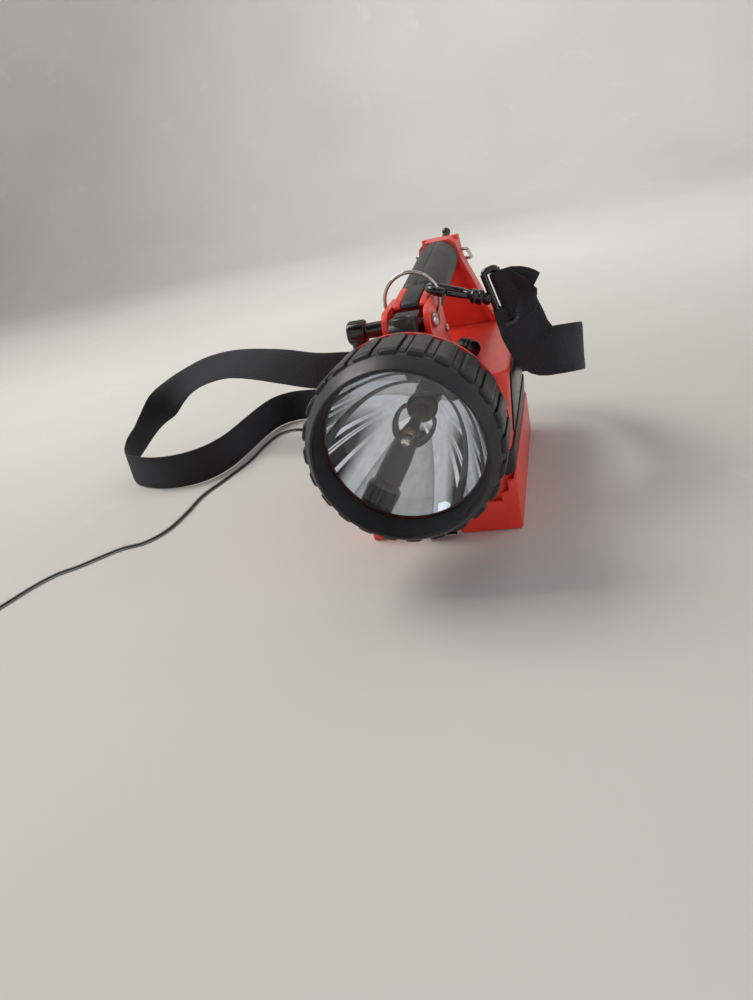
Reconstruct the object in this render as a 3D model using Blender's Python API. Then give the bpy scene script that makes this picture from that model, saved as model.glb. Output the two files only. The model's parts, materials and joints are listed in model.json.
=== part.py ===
"""Rechargeable box hand lantern, standing in its charging tray.

Metres, +Z up. The origin is the middle of the tray's underside, the lamp faces -Y and the
switch end of the handle is at +Y. Every visible object is one sub-part. Moving sub-parts hang
from an empty that sits on their joint's axis.
"""

import math

import bmesh
import bpy
from mathutils import Matrix, Vector

GAP = 0.0003
FINE = 48
COARSE = 24

# Head: turned about a line along Y. "along" is the distance behind the front of the bezel's tread,
# and the lip that shades the lens stands 10 mm in front of it.
FACE_Y = -0.181
HEAD_Z = 0.1025
BEZEL_R = 0.0635
BEZEL_DEPTH = 0.039
THREAD_R = 0.0592
LENS_R = 0.0570
LENS_ALONG = 0.0115
LENS_THICK = 0.003
REFLECTOR_R = 0.0502
REFLECTOR_ALONG = 0.0173
REFLECTOR_DEPTH = 0.052
REFLECTOR_WALL = 0.0010
SHELL_WALL = 0.0024
SHELL_MOUTH = 0.0205
SHELL_PROFILE = [
    (0.0588, SHELL_MOUTH),
    (0.0588, 0.0393),
    (0.0628, 0.0394),
    (0.0628, 0.0420),
    (0.0600, 0.0440),
    (0.0580, 0.0560),
    (0.0530, 0.0670),
    (0.0450, 0.0770),
    (0.0330, 0.0855),
    (0.0180, 0.0905),
    (0.0, 0.0925),
]

# The head tilts on a bolt along X.
PIVOT = Vector((0.0, -0.089, 0.159))
BOLT_R = 0.0030
LUG_HALF = 0.0105

# Tray and case: half widths along X, lengths along Y, heights above the floor.
TRAY_HALF = 0.0575
TRAY_END = 0.100
TRAY_WALL = 0.0024
TRAY_FLOOR = 0.0030
TRAY_FRONT = 0.024
TRAY_POST = 0.040
POST_WIDTH = 0.012
CASE_UNDER = 0.0036
CASE_LOW_HALF = 0.0515
CASE_TOP_HALF = 0.0600
CASE_SPLIT = 0.0500
CASE_TOP = 0.1140
CASE_FRONT_LOW = -0.0965
CASE_FRONT_TOP = -0.0830
CASE_REAR_LOW = 0.0935
CASE_REAR_TOP = 0.1040
CASE_WALL = 0.0026
BELT_LOW = 0.0412
BELT_HIGH = 0.0582
BELT_THICK = 0.0018

# Handle.
PLATE_OUT = 0.0165
PLATE_IN = 0.0125
RING_AXIS_Y = -0.066
RING_AXIS_Z = 0.157
RING_R = 0.0195
RING_WIRE = 0.0015
RING_LIFT = 0.013
RING_HOLE_R = 0.0063
BAIL_AXIS = Vector((0.0, 0.0985, 0.1780))
BAIL_HALF = 0.0225
BAIL_BAR = Vector((0.0, 0.1300, 0.1655))
BAIL_PIN_IN = 0.0140
GRIP_FRONT = -0.054
GRIP_REAR = 0.084
GRIP_START = -0.0378
GRIP_FRONT_Z = 0.1615
GRIP_REAR_Z = 0.1765
GRIP_HALF_WIDTH = 0.0165
GRIP_HALF_HEIGHT = 0.0145
SPINE_HALF = 0.0045
SPINE_HALF_HEIGHT = 0.0065
POST_FRONT = 0.0800
POST_REAR = 0.1030
SWITCH = Vector((0.003, 0.1142, 0.1835))
SWITCH_LEAN = math.radians(56)

# Snap hooks: directions of each hook's length and of its strap loop's bars.
HOOK_R = 0.0026
HOOK_HALF = 0.0065
LOOP_WIRE = 0.0024
STRAP_WIDTH = 0.036
STRAP_THICK = 0.002
FRONT_HOOK_START = Vector((0.0135, -0.066, 0.1765))
FRONT_HOOK_ALONG = Vector((0.93, 0.10, -0.36)).normalized()
FRONT_LOOP_PULL = Vector((0.93, 0.28, 0.23)).normalized()
FRONT_LOOP_BARS = Vector((-0.24, 0.0, 0.97)).normalized()
REAR_HOOK_START = Vector((0.0, 0.1301, 0.1700))
REAR_HOOK_ALONG = Vector((0.0, 0.01, -1.0)).normalized()

# The strap's route: the middle of its width, then the direction across it.
STRAP_ROUTE = [
    ((0.0672, -0.0579, 0.1632), (0.24, 0.00, -0.97)),
    ((0.0746, -0.0557, 0.1650), (0.24, 0.00, -0.97)),
    ((0.0805, -0.0510, 0.1590), (0.16, 0.06, -1.00)),
    ((0.0835, -0.0460, 0.1420), (0.10, 0.05, -1.00)),
    ((0.0865, -0.0430, 0.1240), (0.06, 0.05, -1.00)),
    ((0.0940, -0.0430, 0.1135), (0.03, 0.00, -1.00)),
    ((0.1040, -0.0370, 0.1120), (0.00, 0.00, -1.00)),
    ((0.1120, -0.0200, 0.1090), (0.00, 0.00, -1.00)),
    ((0.1130, 0.0150, 0.1020), (0.00, 0.05, -1.00)),
    ((0.1070, 0.0600, 0.0900), (0.00, 0.08, -1.00)),
    ((0.0900, 0.1100, 0.0760), (0.05, 0.08, -1.00)),
    ((0.0500, 0.1480, 0.0620), (0.05, 0.05, -1.00)),
    ((-0.0100, 0.1640, 0.0480), (0.05, 0.00, -1.00)),
    ((-0.0800, 0.1720, 0.0340), (0.05, 0.00, -1.00)),
    ((-0.1500, 0.1940, 0.0240), (0.03, 0.00, -1.00)),
    ((-0.2000, 0.2200, 0.0200), (0.00, 0.00, -1.00)),
    ((-0.2280, 0.2260, 0.0190), (0.00, 0.00, -1.00)),
    ((-0.2480, 0.2080, 0.0190), (0.00, 0.00, -1.00)),
    ((-0.2560, 0.1560, 0.0190), (0.00, 0.00, -1.00)),
    ((-0.2600, 0.1040, 0.0190), (0.00, 0.00, -1.00)),
    ((-0.2740, 0.0680, 0.0190), (0.00, 0.00, -1.00)),
    ((-0.2990, 0.0530, 0.0190), (0.00, 0.00, -1.00)),
    ((-0.3330, 0.0560, 0.0190), (0.00, 0.00, -1.00)),
    ((-0.3700, 0.0760, 0.0200), (0.00, 0.00, -1.00)),
    ((-0.3860, 0.1060, 0.0260), (-0.15, 0.00, -1.00)),
    ((-0.3800, 0.1340, 0.0400), (-0.35, 0.00, -0.94)),
    ((-0.3590, 0.1500, 0.0610), (-0.60, -0.10, -0.75)),
    ((-0.3260, 0.1560, 0.0820), (-0.50, -0.50, -0.70)),
    ((-0.2880, 0.1500, 0.0960), (-0.20, -0.90, -0.30)),
    ((-0.2500, 0.1400, 0.1020), (0.05, -1.00, -0.10)),
    ((-0.2140, 0.1280, 0.1000), (0.05, -0.90, -0.45)),
    ((-0.1800, 0.1180, 0.0940), (0.00, -0.55, -0.83)),
    ((-0.1450, 0.1120, 0.0860), (0.00, -0.30, -0.95)),
    ((-0.1050, 0.1160, 0.0800), (0.10, -0.10, -0.98)),
    ((-0.0650, 0.1240, 0.0700), (0.45, 0.00, -0.89)),
    ((-0.0300, 0.1290, 0.0680), (0.80, 0.00, -0.60)),
    ((-0.0080, 0.1300, 0.0790), (0.98, 0.00, -0.20)),
    ((-0.0005, 0.1305, 0.0960), (1.00, 0.00, 0.00)),
    ((0.0000, 0.1307, 0.1124), (1.00, 0.00, 0.00)),
]

# Charging lead: the route of the stretch that isn't coiled.
LEAD_WIDTH = 0.0036
LEAD_LOW = 0.0020
LEAD_ROUTE = [
    (-0.0684, 0.0800, 0.0100),
    (-0.0780, 0.0802, 0.0095),
    (-0.0880, 0.0830, 0.0060),
    (-0.1010, 0.0900, 0.0025),
    (-0.1180, 0.1020, LEAD_LOW),
    (-0.1420, 0.1250, LEAD_LOW),
    (-0.1680, 0.1520, LEAD_LOW),
    (-0.1950, 0.1770, LEAD_LOW),
    (-0.2190, 0.1890, LEAD_LOW),
    (-0.2370, 0.1780, LEAD_LOW),
    (-0.2430, 0.1450, LEAD_LOW),
    (-0.2450, 0.1030, LEAD_LOW),
    (-0.2560, 0.0540, LEAD_LOW),
    (-0.2640, 0.0220, LEAD_LOW),
    (-0.2640, -0.0140, LEAD_LOW),
    (-0.2670, -0.0480, LEAD_LOW),
    (-0.2790, -0.0690, LEAD_LOW),
    (-0.2980, -0.0770, LEAD_LOW),
    (-0.3130, -0.0900, LEAD_LOW),
    (-0.3270, -0.1040, LEAD_LOW),
    (-0.3420, -0.1150, LEAD_LOW),
    (-0.3530, -0.1330, LEAD_LOW),
    (-0.3640, -0.1620, LEAD_LOW),
    (-0.3750, -0.1900, LEAD_LOW),
    (-0.3850, -0.2120, LEAD_LOW),
    (-0.3915, -0.2281, LEAD_LOW),
]
COIL_MIDDLE = Vector((-0.4205, -0.2400, 0.0))
COIL_IN = 0.0150
COIL_OUT = 0.0292
COIL_HIGH = 0.0082


# ---------------------------------------------------------------- helpers


def clear_scene():
    for obj in list(bpy.data.objects):
        bpy.data.objects.remove(obj)


def finish(name, colour, roughness, metallic=0.0, clear=0.0):
    """A Principled material of one colour."""
    material = bpy.data.materials.new(name)
    material.use_nodes = True
    shader = material.node_tree.nodes["Principled BSDF"]
    shader.inputs["Base Color"].default_value = (*colour, 1.0)
    shader.inputs["Roughness"].default_value = roughness
    shader.inputs["Metallic"].default_value = metallic
    shader.inputs["Transmission Weight"].default_value = clear
    return material


def add_object(name, shape, material):
    """Turns a finished bmesh into an object of this name."""
    bmesh.ops.recalc_face_normals(shape, faces=shape.faces)
    mesh = bpy.data.meshes.new(name)
    shape.to_mesh(mesh)
    shape.free()
    mesh.shade_smooth()
    mesh.set_sharp_from_angle(angle=math.radians(35))
    mesh.materials.append(material)
    obj = bpy.data.objects.new(name, mesh)
    bpy.context.scene.collection.objects.link(obj)
    return obj


def rest_frame(axis):
    """Two directions square to an axis, and the axis."""
    axis = axis.normalized()
    helper = Vector((0, 0, 1)) if abs(axis.z) < 0.9 else Vector((1, 0, 0))
    side = axis.cross(helper).normalized()
    return side, axis.cross(side), axis


def turned_shape(shape, profile, start, axis, steps):
    """Adds a turned solid: profile is (radius, along), a closed ring unless both ends are on the axis."""
    side, up, axis = rest_frame(axis)
    rings = []
    for radius, along in profile:
        middle = start + axis * along
        if radius == 0.0:
            rings.append([shape.verts.new(middle)])
            continue
        ring = []
        for step in range(steps):
            angle = 2 * math.pi * step / steps
            point = middle + radius * (math.cos(angle) * side + math.sin(angle) * up)
            ring.append(shape.verts.new(point))
        rings.append(ring)
    for first, second in zip(rings, rings[1:] + rings[:1]):
        if len(first) == 1 and len(second) == 1:
            continue
        for step in range(steps):
            after = (step + 1) % steps
            corners = [first[step % len(first)], first[after % len(first)]]
            corners += [second[after % len(second)], second[step % len(second)]]
            shape.faces.new(list(dict.fromkeys(corners)))


def turned(name, profile, start, axis, material, steps=FINE):
    shape = bmesh.new()
    turned_shape(shape, profile, Vector(start), Vector(axis), steps)
    return add_object(name, shape, material)


def rod_profile(radius, length, edge=0.0004):
    """A solid rod with broken edges, as a turned profile."""
    return [
        (0.0, 0.0),
        (radius - edge, 0.0),
        (radius, edge),
        (radius, length - edge),
        (radius - edge, length),
        (0.0, length),
    ]


def washer_profile(inner, outer, length):
    return [(inner, 0.0), (outer, 0.0), (outer, length), (inner, length)]


def prism_shape(shape, outline, plane, low, high):
    """Adds an outline of 2D points pushed along the third direction."""
    places = {"YZ": (1, 2, 0), "XZ": (0, 2, 1), "XY": (0, 1, 2)}[plane]
    ends = []
    for level in (low, high):
        ring = []
        for first, second in outline:
            point = [0.0, 0.0, 0.0]
            point[places[0]], point[places[1]], point[places[2]] = first, second, level
            ring.append(shape.verts.new(point))
        ends.append(ring)
    count = len(outline)
    shape.faces.new(ends[0])
    shape.faces.new(ends[1])
    for index in range(count):
        after = (index + 1) % count
        shape.faces.new((ends[0][index], ends[0][after], ends[1][after], ends[1][index]))


def prism(name, outline, plane, low, high, material):
    shape = bmesh.new()
    prism_shape(shape, outline, plane, low, high)
    return add_object(name, shape, material)


def box_shape(shape, low, high):
    outline = [(low[0], low[1]), (high[0], low[1]), (high[0], high[1]), (low[0], high[1])]
    prism_shape(shape, outline, "XY", low[2], high[2])


def box(name, low, high, material):
    shape = bmesh.new()
    box_shape(shape, low, high)
    return add_object(name, shape, material)


def arc(centre, radius, first, last, steps):
    """Points on an arc from one angle to another, in degrees."""
    points = []
    for step in range(steps + 1):
        angle = math.radians(first + (last - first) * step / steps)
        points.append((centre[0] + radius * math.cos(angle), centre[1] + radius * math.sin(angle)))
    return points


def soften(obj, width, segments=2, angle=30):
    """Rounds the edges sharper than an angle."""
    bevel = obj.modifiers.new("soften", "BEVEL")
    bevel.width = width
    bevel.segments = segments
    bevel.limit_method = "ANGLE"
    bevel.angle_limit = math.radians(angle)
    return obj


def hide_helper(obj):
    obj.hide_render = True
    obj.display_type = "WIRE"


def combine(obj, helper, operation):
    boolean = obj.modifiers.new(operation.lower(), "BOOLEAN")
    boolean.operation = operation
    boolean.object = helper
    hide_helper(helper)
    return obj


def cut(obj, helper):
    return combine(obj, helper, "DIFFERENCE")


def add(obj, helper):
    return combine(obj, helper, "UNION")


def joint_empty(name, place):
    """An empty on a joint's axis."""
    empty = bpy.data.objects.new(name, None)
    empty.location = place
    empty.empty_display_size = 0.01
    bpy.context.scene.collection.objects.link(empty)
    return empty


def hang(empty, *pieces):
    """Parents pieces modelled in place to an empty, without moving them."""
    for piece in pieces:
        piece.parent = empty
        piece.matrix_parent_inverse = Matrix.Translation(-empty.location)


def smooth_curve(points, spacing):
    """Points read at even steps from a Catmull-Rom curve through these points."""
    points = [Vector(point) for point in points]
    ends = [2 * points[0] - points[1], *points, 2 * points[-1] - points[-2]]
    dense = []
    for index in range(len(points) - 1):
        before, start, end, after = ends[index : index + 4]
        for step in range(24):
            t = step / 24
            dense.append(
                0.5
                * (
                    2 * start
                    + (end - before) * t
                    + (2 * before - 5 * start + 4 * end - after) * t * t
                    + (3 * start - before - 3 * end + after) * t * t * t
                )
            )
    dense.append(points[-1])
    lengths = [0.0]
    for start, end in zip(dense, dense[1:]):
        lengths.append(lengths[-1] + (end - start).length)
    count = max(2, round(lengths[-1] / spacing))
    read = []
    index = 0
    for step in range(count + 1):
        wanted = lengths[-1] * step / count
        while index < len(dense) - 2 and lengths[index + 1] < wanted:
            index += 1
        span = lengths[index + 1] - lengths[index]
        share = (wanted - lengths[index]) / span if span else 0.0
        read.append(dense[index].lerp(dense[index + 1], min(share, 1.0)))
    return read


def tube(name, points, radius, material, resolution=2):
    """A round bar along points, as a poly curve with closed ends."""
    curve = bpy.data.curves.new(name, "CURVE")
    curve.dimensions = "3D"
    curve.bevel_depth = radius
    curve.bevel_resolution = resolution
    curve.use_fill_caps = True
    spline = curve.splines.new("POLY")
    spline.points.add(len(points) - 1)
    for place, point in zip(spline.points, points):
        place.co = (*point, 1.0)
    curve.materials.append(material)
    obj = bpy.data.objects.new(name, curve)
    bpy.context.scene.collection.objects.link(obj)
    return obj


def swept_shape(shape, points, radius, sides=8, closed=False):
    """Adds a round bar along points to a bmesh, with a frame carried along it."""
    count = len(points)
    rings = []
    side = None
    for index, point in enumerate(points):
        before = points[index - 1] if index or closed else point
        after = points[(index + 1) % count] if index < count - 1 or closed else point
        along = (after - before).normalized()
        if side is None:
            side = rest_frame(along)[0]
        side = (side - along * side.dot(along)).normalized()
        up = along.cross(side)
        ring = []
        for step in range(sides):
            angle = 2 * math.pi * step / sides
            ring.append(shape.verts.new(point + radius * (math.cos(angle) * side + math.sin(angle) * up)))
        rings.append(ring)
    pairs = list(zip(rings, rings[1:]))
    if closed:
        pairs.append((rings[-1], rings[0]))
    for first, second in pairs:
        for step in range(sides):
            after = (step + 1) % sides
            shape.faces.new((first[step], first[after], second[after], second[step]))
    if not closed:
        shape.faces.new(rings[0])
        shape.faces.new(rings[-1])


# ---------------------------------------------------------------- tray


def make_tray(orange, brass, black):
    """Open box with low front and rear walls between four corner posts."""
    tray = box("charging_tray", (-TRAY_HALF, -TRAY_END, 0.0), (TRAY_HALF, TRAY_END, TRAY_POST), orange)
    soften(tray, 0.002)
    inner_half = TRAY_HALF - TRAY_WALL
    inner_end = TRAY_END - TRAY_WALL
    hollow = box(
        "cutter_tray_hollow",
        (-inner_half, -inner_end, TRAY_FLOOR),
        (inner_half, inner_end, TRAY_POST + 0.01),
        orange,
    )
    cut(tray, hollow)
    window = TRAY_HALF - POST_WIDTH
    step = window + 0.0055
    gate = bmesh.new()
    outline = [
        (-window, TRAY_FRONT),
        (window, TRAY_FRONT),
        (window, TRAY_FRONT + 0.006),
        (step, TRAY_FRONT + 0.008),
        (step, TRAY_POST + 0.01),
        (-step, TRAY_POST + 0.01),
        (-step, TRAY_FRONT + 0.008),
        (-window, TRAY_FRONT + 0.006),
    ]
    prism_shape(gate, outline, "XZ", -TRAY_END - 0.01, TRAY_END + 0.01)
    cut(tray, add_object("cutter_tray_gate", gate, orange))
    holes = bmesh.new()
    for x in (-0.040, 0.040):
        for y in (-0.080, 0.070):
            turned_shape(holes, rod_profile(0.0027, 0.02), Vector((x, y, -0.01)), Vector((0, 0, 1)), COARSE)
    outlet = Vector((-TRAY_HALF - 0.01, 0.080, 0.010))
    turned_shape(holes, rod_profile(0.0040, 0.02), outlet, Vector((1, 0, 0)), COARSE)
    for x in (-0.012, 0.012):
        turned_shape(holes, rod_profile(0.0035, 0.02), Vector((x, 0.050, -0.0088)), Vector((0, 0, 1)), COARSE)
    cut(tray, add_object("cutter_tray_holes", holes, orange))

    contact = [
        (0.0, 0.0006),
        (0.0032, 0.0006),
        (0.0032, 0.0034),
        (0.0020, 0.0036),
        (0.0014, 0.0042),
        (0.0, 0.0044),
    ]
    for x, side in ((-0.012, "left"), (0.012, "right")):
        turned("tray_contact_" + side, contact, (x, 0.050, 0.0), (0, 0, 1), brass, COARSE)

    gland = [
        (0.0, 0.0),
        (0.0052, 0.0),
        (0.0052, 0.0022),
        (0.0037, 0.0023),
        (0.0037, 0.0052),
        (0.0048, 0.0053),
        (0.0046, 0.0075),
        (0.0026, 0.0155),
        (0.0, 0.0155),
    ]
    turned("lead_strain_relief", gland, (-TRAY_HALF + 0.0052 - 0.0003, 0.080, 0.010), (-1, 0, 0), black, COARSE)


def make_latch(black, steel):
    """Latch lever on the tray's front wall: its nose leans on the foot of the case."""
    pin_y, pin_z = -0.1048, 0.010
    outline = [(-TRAY_END - GAP, 0.0040), (-TRAY_END - GAP, 0.0180), (-0.1085, 0.0140), (-0.1085, 0.0040)]
    bracket = prism("latch_bracket", outline, "YZ", -0.0135, 0.0135, steel)
    mouth = box("cutter_latch_mouth", (-0.0103, -0.1200, 0.0048), (0.0103, -0.1010, 0.0300), steel)
    cut(bracket, mouth)
    bores = turned(
        "cutter_latch_bores", rod_profile(0.0015, 0.04), (-0.02, pin_y, pin_z), (1, 0, 0), steel, COARSE
    )
    cut(bracket, bores)
    lever = [
        (-0.1060, 0.0055),
        (-0.1036, 0.0053),
        (-0.1020, 0.0150),
        (-0.1012, 0.0252),
        (-0.0985, 0.0275),
        (-0.0978, 0.0310),
        (-0.1015, 0.0330),
        (-0.1060, 0.0300),
        (-0.1100, 0.0230),
        (-0.1085, 0.0120),
    ]
    latch = prism("latch_lever", lever, "YZ", -0.0100, 0.0100, black)
    cut(latch, bores)
    turned("latch_pin", rod_profile(0.0012, 0.027), (-0.0135, pin_y, pin_z), (1, 0, 0), steel, COARSE)
    hang(joint_empty("latch_axis", Vector((0.0, pin_y, pin_z))), latch)


# ---------------------------------------------------------------- case


def case_half(z, inset=0.0):
    """Half width of the case's outside at a height, less an inset."""
    share = (z - CASE_UNDER) / (CASE_TOP - CASE_UNDER)
    return CASE_LOW_HALF + (CASE_TOP_HALF - CASE_LOW_HALF) * share - inset


def case_front(z, inset=0.0):
    share = (z - CASE_UNDER) / (CASE_TOP - CASE_UNDER)
    return CASE_FRONT_LOW + (CASE_FRONT_TOP - CASE_FRONT_LOW) * share + inset


def case_rear(z, inset=0.0):
    share = (z - CASE_UNDER) / (CASE_TOP - CASE_UNDER)
    return CASE_REAR_LOW + (CASE_REAR_TOP - CASE_REAR_LOW) * share - inset


def case_slice(name, low, high, inset, material, bevel=0.0):
    """A block with the case's sloping sides between two heights."""
    shape = bmesh.new()
    rings = []
    for z in (low, high):
        half, front, rear = case_half(z, inset), case_front(z, inset), case_rear(z, inset)
        corners = [(-half, front), (half, front), (half, rear), (-half, rear)]
        rings.append([shape.verts.new((x, y, z)) for x, y in corners])
    shape.faces.new(rings[0])
    shape.faces.new(rings[1])
    for index in range(4):
        after = (index + 1) % 4
        shape.faces.new((rings[0][index], rings[0][after], rings[1][after], rings[1][index]))
    if bevel:
        bmesh.ops.recalc_face_normals(shape, faces=shape.faces)
        upright = [edge for edge in shape.edges if abs(edge.verts[0].co.z - edge.verts[1].co.z) > 1e-5]
        bmesh.ops.bevel(shape, geom=upright, offset=bevel, segments=3, profile=0.5, affect="EDGES")
    return add_object(name, shape, material)


def make_case(orange, black, grey):
    """Upper shell, base cover, rubber belt over their joint, and the side plates."""
    shell = case_slice("case_shell", CASE_SPLIT, CASE_TOP, 0.0, orange, bevel=0.008)
    soften(shell, 0.003, segments=2, angle=60)
    cut(shell, case_slice("cutter_shell_hollow", CASE_SPLIT - 0.01, CASE_TOP - 0.003, CASE_WALL, orange, 0.006))
    base = case_slice("base_cover", CASE_UNDER, CASE_SPLIT - GAP, 0.0, orange, bevel=0.008)
    cut(base, case_slice("cutter_base_hollow", CASE_UNDER + 0.003, CASE_SPLIT + 0.01, CASE_WALL, orange, 0.006))
    wells = bmesh.new()
    for x in (-0.040, 0.040):
        for y in (-0.083, 0.083):
            turned_shape(wells, rod_profile(0.0030, 0.01), Vector((x, y, -0.002)), Vector((0, 0, 1)), COARSE)
    for x in (-0.012, 0.012):
        turned_shape(wells, rod_profile(0.0048, 0.01), Vector((x, 0.050, -0.002)), Vector((0, 0, 1)), COARSE)
    cut(base, add_object("cutter_base_wells", wells, orange))

    belt = case_slice("case_belt", BELT_LOW, BELT_HIGH, -BELT_THICK - GAP, black, bevel=0.009)
    cut(belt, case_slice("cutter_belt", BELT_LOW - 0.003, BELT_HIGH + 0.003, -GAP, black, 0.008))

    for x, side in ((-0.040, "left"), (0.040, "right")):
        for y, end in ((-0.083, "front"), (0.083, "rear")):
            name = "_".join(("base_screw", end, side))
            turned(name, rod_profile(0.0026, 0.004), (x, y, 0.0042), (0, 0, 1), grey, COARSE)

    for side, name in ((-1, "side_plate_left"), (1, "side_plate_right")):
        low, high = 0.0615, 0.1075
        shape = bmesh.new()
        near = [(side * (case_half(z) + GAP), z) for z in (low, high)]
        far = [(side * (case_half(z) + GAP + 0.0009), z) for z in (high, low)]
        prism_shape(shape, near + far, "XZ", -0.062, 0.084)
        add_object(name, shape, black)


def make_inside(materials):
    """Battery, its tabs and pads, the charge board and the studs that meet the tray's contacts."""
    battery = box("battery", (-0.025, -0.0755, 0.0105), (0.025, 0.0755, 0.1045), materials["battery"])
    soften(battery, 0.0015, segments=1)
    for y, pole in ((-0.066, "minus"), (-0.046, "plus")):
        outline = [
            (y - 0.006, 0.1048),
            (y + 0.0008, 0.1048),
            (y + 0.0008, 0.1104),
            (y, 0.1104),
            (y, 0.1056),
            (y - 0.006, 0.1056),
        ]
        prism("battery_tab_" + pole, outline, "YZ", -0.0032, 0.0032, materials["brass"])
    box("battery_pad", (-0.022, -0.0700, 0.0069), (0.022, 0.0380, 0.0102), materials["foam"])
    board = box("charge_board", (0.0310, -0.0400, 0.0120), (0.0326, 0.0300, 0.0480), materials["board"])
    parts = bmesh.new()
    box_shape(parts, (0.0320, -0.0300, 0.0300), (0.0420, -0.0180, 0.0420))
    box_shape(parts, (0.0320, -0.0100, 0.0180), (0.0370, 0.0040, 0.0300))
    barrel_start = Vector((0.0320, 0.0180, 0.0340))
    turned_shape(parts, rod_profile(0.0040, 0.0100), barrel_start, Vector((1, 0, 0)), COARSE)
    add(board, add_object("helper_board_components", parts, materials["board"]))
    stud = [(0.0, 0.0), (0.0040, 0.0), (0.0040, 0.0020), (0.0, 0.0020)]
    for x, side in ((-0.012, "left"), (0.012, "right")):
        turned("charge_stud_" + side, stud, (x, 0.050, 0.0047), (0, 0, 1), materials["brass"], COARSE)


def make_vent(black):
    """Knurled cap of the charging socket on the case's top."""
    profile = [
        (0.0, 0.0),
        (0.0052, 0.0),
        (0.0060, 0.0012),
        (0.0060, 0.0060),
        (0.0068, 0.0062),
        (0.0068, 0.0092),
        (0.0058, 0.0094),
        (0.0052, 0.0190),
        (0.0, 0.0190),
    ]
    turned("socket_cap", profile, (0.0330, -0.0330, CASE_TOP + 0.0068 + GAP), (-0.55, 0.84, 0.0), black, COARSE)


# ---------------------------------------------------------------- handle


def grip_middle(y):
    """Height of the grip's middle line."""
    return GRIP_FRONT_Z + (GRIP_REAR_Z - GRIP_FRONT_Z) * (y - GRIP_FRONT) / (GRIP_REAR - GRIP_FRONT)


def make_handle(orange, steel):
    """Neck plates, spine and rear post in one moulding, screwed to the case's top."""
    foot = CASE_TOP + GAP
    plate = [(-0.0790, foot), (-0.0200, foot), (-0.0260, 0.130), (-0.0400, 0.150), (-0.0450, 0.1655)]
    plate += arc((-0.0530, 0.1635), 0.0075, 20, 90, 3)
    plate += [(-0.0900, 0.1700)]
    plate += arc((-0.0905, 0.1590), 0.0110, 90, 200, 6)
    plate += [(-0.0935, 0.140)]
    handle = prism("handle_frame", plate, "YZ", PLATE_IN, PLATE_OUT, orange)
    add(handle, prism("helper_plate_left", plate, "YZ", -PLATE_OUT, -PLATE_IN, orange))
    bridge = [
        (-0.0520, foot),
        (-0.0230, foot),
        (-0.0300, 0.130),
        (-0.0440, 0.150),
        (-0.0480, 0.1690),
        (-0.0550, 0.1690),
        (-0.0555, 0.1500),
    ]
    add(handle, prism("helper_bridge", bridge, "YZ", -PLATE_OUT + 0.0008, PLATE_OUT - 0.0008, orange))
    top, bottom = [], []
    for y in (-0.0500, 0.0900):
        middle = grip_middle(y)
        top.append((y, middle + SPINE_HALF_HEIGHT))
        bottom.append((y, middle - SPINE_HALF_HEIGHT))
    spine = [bottom[0], bottom[1], top[1], top[0]]
    add(handle, prism("helper_spine", spine, "YZ", -SPINE_HALF, SPINE_HALF, orange))
    post = [
        (-0.0430, foot),
        (0.0430, foot),
        (0.0360, 0.128),
        (0.0190, 0.172),
        (0.0160, 0.1860),
        (0.0110, 0.1905),
        (-0.0110, 0.1905),
        (-0.0160, 0.1860),
        (-0.0190, 0.172),
        (-0.0360, 0.128),
    ]
    add(handle, prism("helper_post", post, "XZ", POST_FRONT + 0.0045, POST_REAR, orange))
    rim = [
        (0.0430, foot),
        (0.0360, 0.128),
        (0.0190, 0.172),
        (0.0160, 0.186),
        (0.0110, 0.1905),
        (0.0, 0.1905),
        (0.0, 0.1870),
        (0.0085, 0.1870),
        (0.0150, 0.172),
        (0.0310, 0.128),
        (0.0370, foot),
    ]
    for side, name in ((1, "helper_rim_right"), (-1, "helper_rim_left")):
        half = [(side * x, z) for x, z in rim]
        add(handle, prism(name, half, "XZ", POST_FRONT, POST_FRONT + 0.006, orange))
    cap = [
        (0.1000, 0.1480),
        (0.1120, 0.1500),
        (0.1180, 0.1580),
        (0.1200, 0.1680),
        (0.1190, 0.1764),
        (0.1095, 0.1905),
        (0.1000, 0.1905),
    ]
    add(handle, prism("helper_rear_cap", cap, "YZ", -0.0160, 0.0160, orange))
    well = [(0.1010, 0.1450), (0.1140, 0.1450), (0.1140, 0.1730), (0.1110, 0.1775), (0.1010, 0.1775)]
    cut(handle, prism("cutter_rear_well", well, "YZ", -0.0125, 0.0125, orange))

    bores = bmesh.new()
    along_x = Vector((1, 0, 0))
    turned_shape(bores, rod_profile(BOLT_R + GAP, 0.08), Vector((-0.04, PIVOT.y, PIVOT.z)), along_x, COARSE)
    ring_bore_start = Vector((-0.04, RING_AXIS_Y, RING_AXIS_Z))
    turned_shape(bores, rod_profile(RING_HOLE_R, 0.08), ring_bore_start, along_x, COARSE)
    for side in (-1, 1):
        socket = Vector((side * (BAIL_PIN_IN - GAP), BAIL_AXIS.y, BAIL_AXIS.z))
        turned_shape(bores, rod_profile(RING_WIRE + GAP, 0.02), socket, Vector((side, 0, 0)), COARSE)
    cut(handle, add_object("cutter_handle_bores", bores, orange))

    for side, name in ((-1, "neck_screw_left"), (1, "neck_screw_right")):
        start = (side * (PLATE_OUT + GAP), -0.0420, 0.1420)
        turned(name, rod_profile(0.0030, 0.0016), start, (side, 0, 0), steel, COARSE)


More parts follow.
